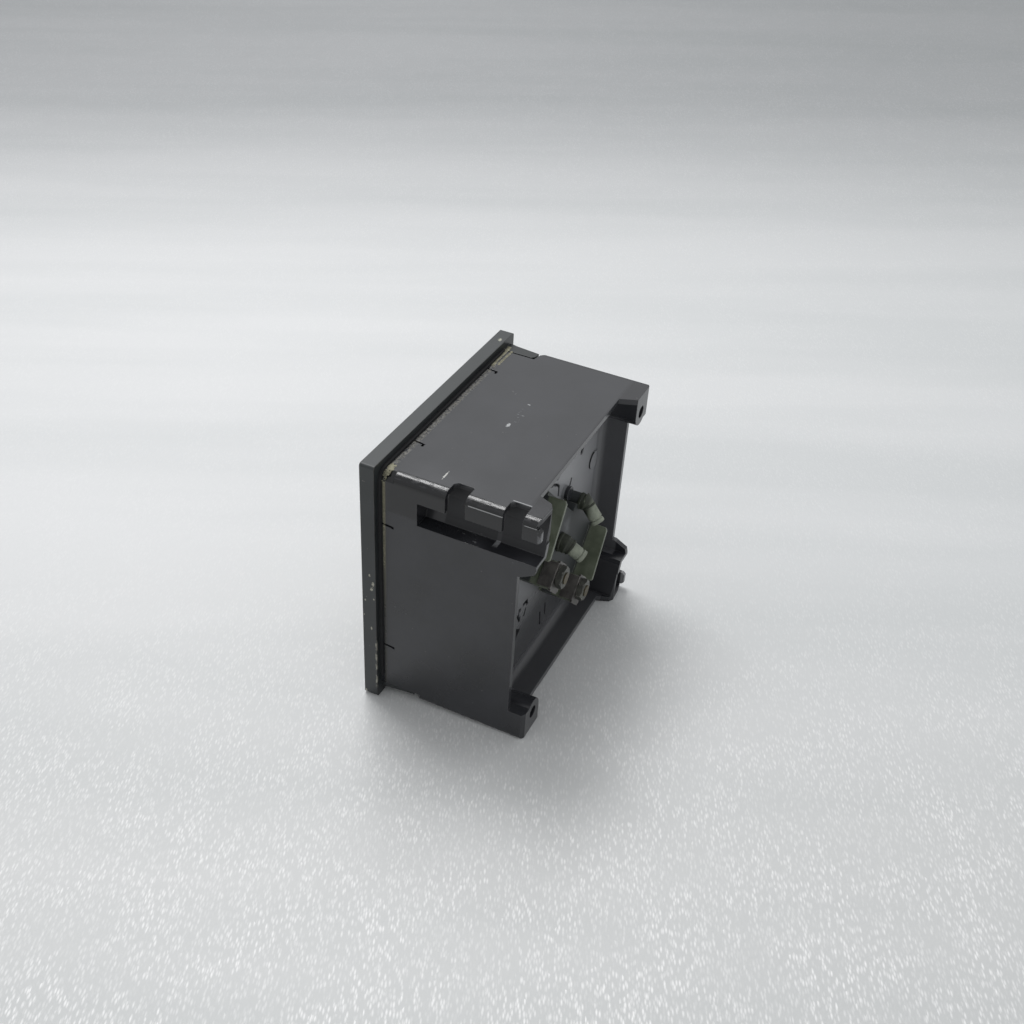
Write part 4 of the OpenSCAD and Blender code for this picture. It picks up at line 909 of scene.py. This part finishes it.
residue = {     # the inputs of each row: squash flattens a crumb on its face, turn is in radians
    "film": {
        "top": {"Count": 460, "From": (43, 2.0, 45), "To": (-29, 2.0, 45), "Spread": (0.5, 0.85, 0.02),
                "Least": 0.08, "Most": 0.26, "Squash": (1, 1, 0.4), "Turn": (0, 0, 3)},
        "far": {"Count": 200, "From": (-45, 1.6, 42), "To": (-45, 1.6, -42), "Spread": (0.02, 0.4, 0.5),
                "Least": 0.08, "Most": 0.24, "Squash": (0.4, 1, 1), "Turn": (3, 0, 0)},
        "under": {"Count": 200, "From": (-42, 1.6, -45), "To": (42, 1.6, -45), "Spread": (0.5, 0.4, 0.02),
                  "Least": 0.08, "Most": 0.24, "Squash": (1, 1, 0.4), "Turn": (0, 0, 3)},
    },
    "lumps": {
        "corner": {"Count": 70, "From": (42.6, 2.3, 45), "To": (39.8, 2.0, 45), "Spread": (0.4, 1.0, 0.03),
                   "Least": 0.18, "Most": 0.55, "Squash": (1, 1, 0.35), "Turn": (0, 0, 3)},
        "bend": {"Count": 50, "From": (42.6, 2.3, 44.95), "To": (44.2, 2.0, 44.0), "Spread": (0.2, 0.9, 0.1),
                 "Least": 0.18, "Most": 0.50, "Squash": (0.7, 1, 0.5), "Turn": (0, 0, 3)},
        "drop": {"Count": 40, "From": (44.3, 1.8, 43.9), "To": (45.0, 1.6, 41.5), "Spread": (0.05, 0.6, 0.3),
                 "Least": 0.15, "Most": 0.40, "Squash": (0.4, 1, 0.8), "Turn": (3, 0, 0)},
        "side": {"Count": 150, "From": (45, 1.6, 41.5), "To": (45, 1.6, 8), "Spread": (0.02, 0.30, 0.3),
                 "Least": 0.08, "Most": 0.24, "Squash": (0.4, 1, 1), "Turn": (3, 0, 0)},
        "thick": {"Count": 190, "From": (-28.5, 1.2, 45), "To": (-42.5, 1.1, 45), "Spread": (0.3, 0.5, 0.03),
                  "Least": 0.22, "Most": 0.65, "Squash": (1, 1, 0.3), "Turn": (0, 0, 3)},
        "thin": {"Count": 90, "From": (-29.5, 2.9, 45), "To": (-40, 3.1, 45), "Spread": (0.3, 0.25, 0.02),
                 "Least": 0.18, "Most": 0.50, "Squash": (1, 1, 0.3), "Turn": (0, 0, 3)},
    },
}
residueLooks = {
    "film": {       # dried sealant under dust, crumbly and quite matt
        "name": "dustySealant",
        "dark": "#575650", "light": "#85827a", "cloud": 1.6,
        "rough": (0.75, 0.9), "grain": 0.3, "bump": 0.4,
    },
    "lumps": {      # thicker dried sealant, yellowed
        "name": "yellowedSealant",
        "dark": "#6c6957", "light": "#a19e88", "cloud": 1.8,
        "rough": (0.6, 0.8), "grain": 0.3, "bump": 0.4,
    },
}
firstSeed, seedStep = 11, 5     # each row takes four seeds in turn


def crumbTree():
    tree, sizes, given = openTree("crumbRow", [
        ("Count", "Int"), ("Seed", "Int"), ("From", "Vector"), ("To", "Vector"), ("Spread", "Vector"),
        ("Least", "Float"), ("Most", "Float"), ("Squash", "Vector"), ("Turn", "Vector")])
    seeds = []
    for step in range(4):
        seeds.append(addNode(tree, "ShaderNodeMath", {"operation": "ADD", 1: float(step)},
                             {0: given["Seed"]}).outputs[0])
    line = addNode(tree, "GeometryNodeMeshLine", {"Offset": (0, 0, 0)}, {"Count": given["Count"]})
    share = addNode(tree, "FunctionNodeRandomValue", {"data_type": "FLOAT"}, {8: seeds[0]}).outputs[1]
    along = addNode(tree, "ShaderNodeMix", {"data_type": "VECTOR"},
                    {0: share, 4: given["From"], 5: given["To"]}).outputs[1]
    below = addNode(tree, "ShaderNodeVectorMath", {"operation": "SCALE", "Scale": -1.0},
                    {0: given["Spread"]}).outputs[0]
    strewn = addNode(tree, "FunctionNodeRandomValue", {"data_type": "FLOAT_VECTOR"},
                     {0: below, 1: given["Spread"], 8: seeds[1]}).outputs[0]
    spot = addNode(tree, "ShaderNodeVectorMath", {"operation": "ADD"}, {0: along, 1: strewn}).outputs[0]
    points = addNode(tree, "GeometryNodeSetPosition", {}, {"Geometry": line.outputs[0], "Position": spot})
    back = addNode(tree, "ShaderNodeVectorMath", {"operation": "SCALE", "Scale": -1.0},
                   {0: given["Turn"]}).outputs[0]
    turn = addNode(tree, "FunctionNodeRandomValue", {"data_type": "FLOAT_VECTOR"},
                   {0: back, 1: given["Turn"], 8: seeds[2]}).outputs[0]
    least = addNode(tree, "ShaderNodeVectorMath", {"operation": "SCALE"},
                    {0: given["Squash"], "Scale": given["Least"]}).outputs[0]
    most = addNode(tree, "ShaderNodeVectorMath", {"operation": "SCALE"},
                   {0: given["Squash"], "Scale": given["Most"]}).outputs[0]
    size = addNode(tree, "FunctionNodeRandomValue", {"data_type": "FLOAT_VECTOR"},
                   {0: least, 1: most, 8: seeds[3]}).outputs[0]
    crumb = addNode(tree, "GeometryNodeMeshIcoSphere", {"Radius": 1.0, "Subdivisions": 1})
    row = addNode(tree, "GeometryNodeInstanceOnPoints", {}, {
        "Points": points.outputs[0], "Instance": crumb.outputs[0], "Rotation": turn, "Scale": size})
    closeTree(tree, row, given["Material"])
    return tree, sizes


crumbs, crumbSizes = crumbTree()
for kind, rows in residue.items():
    coat = finish(residueLooks[kind])
    strewn = [grow(crumbs, crumbSizes, dict(row, Seed=firstSeed + seedStep * i), coat)
              for i, row in enumerate(rows.values())]
    whole = joined("sealant" + kind.capitalize(), strewn)
    whole.transform(Matrix.Scale(mm, 4))
    addPiece(whole.name, whole, "meter", coat)
print("sealant strewn")
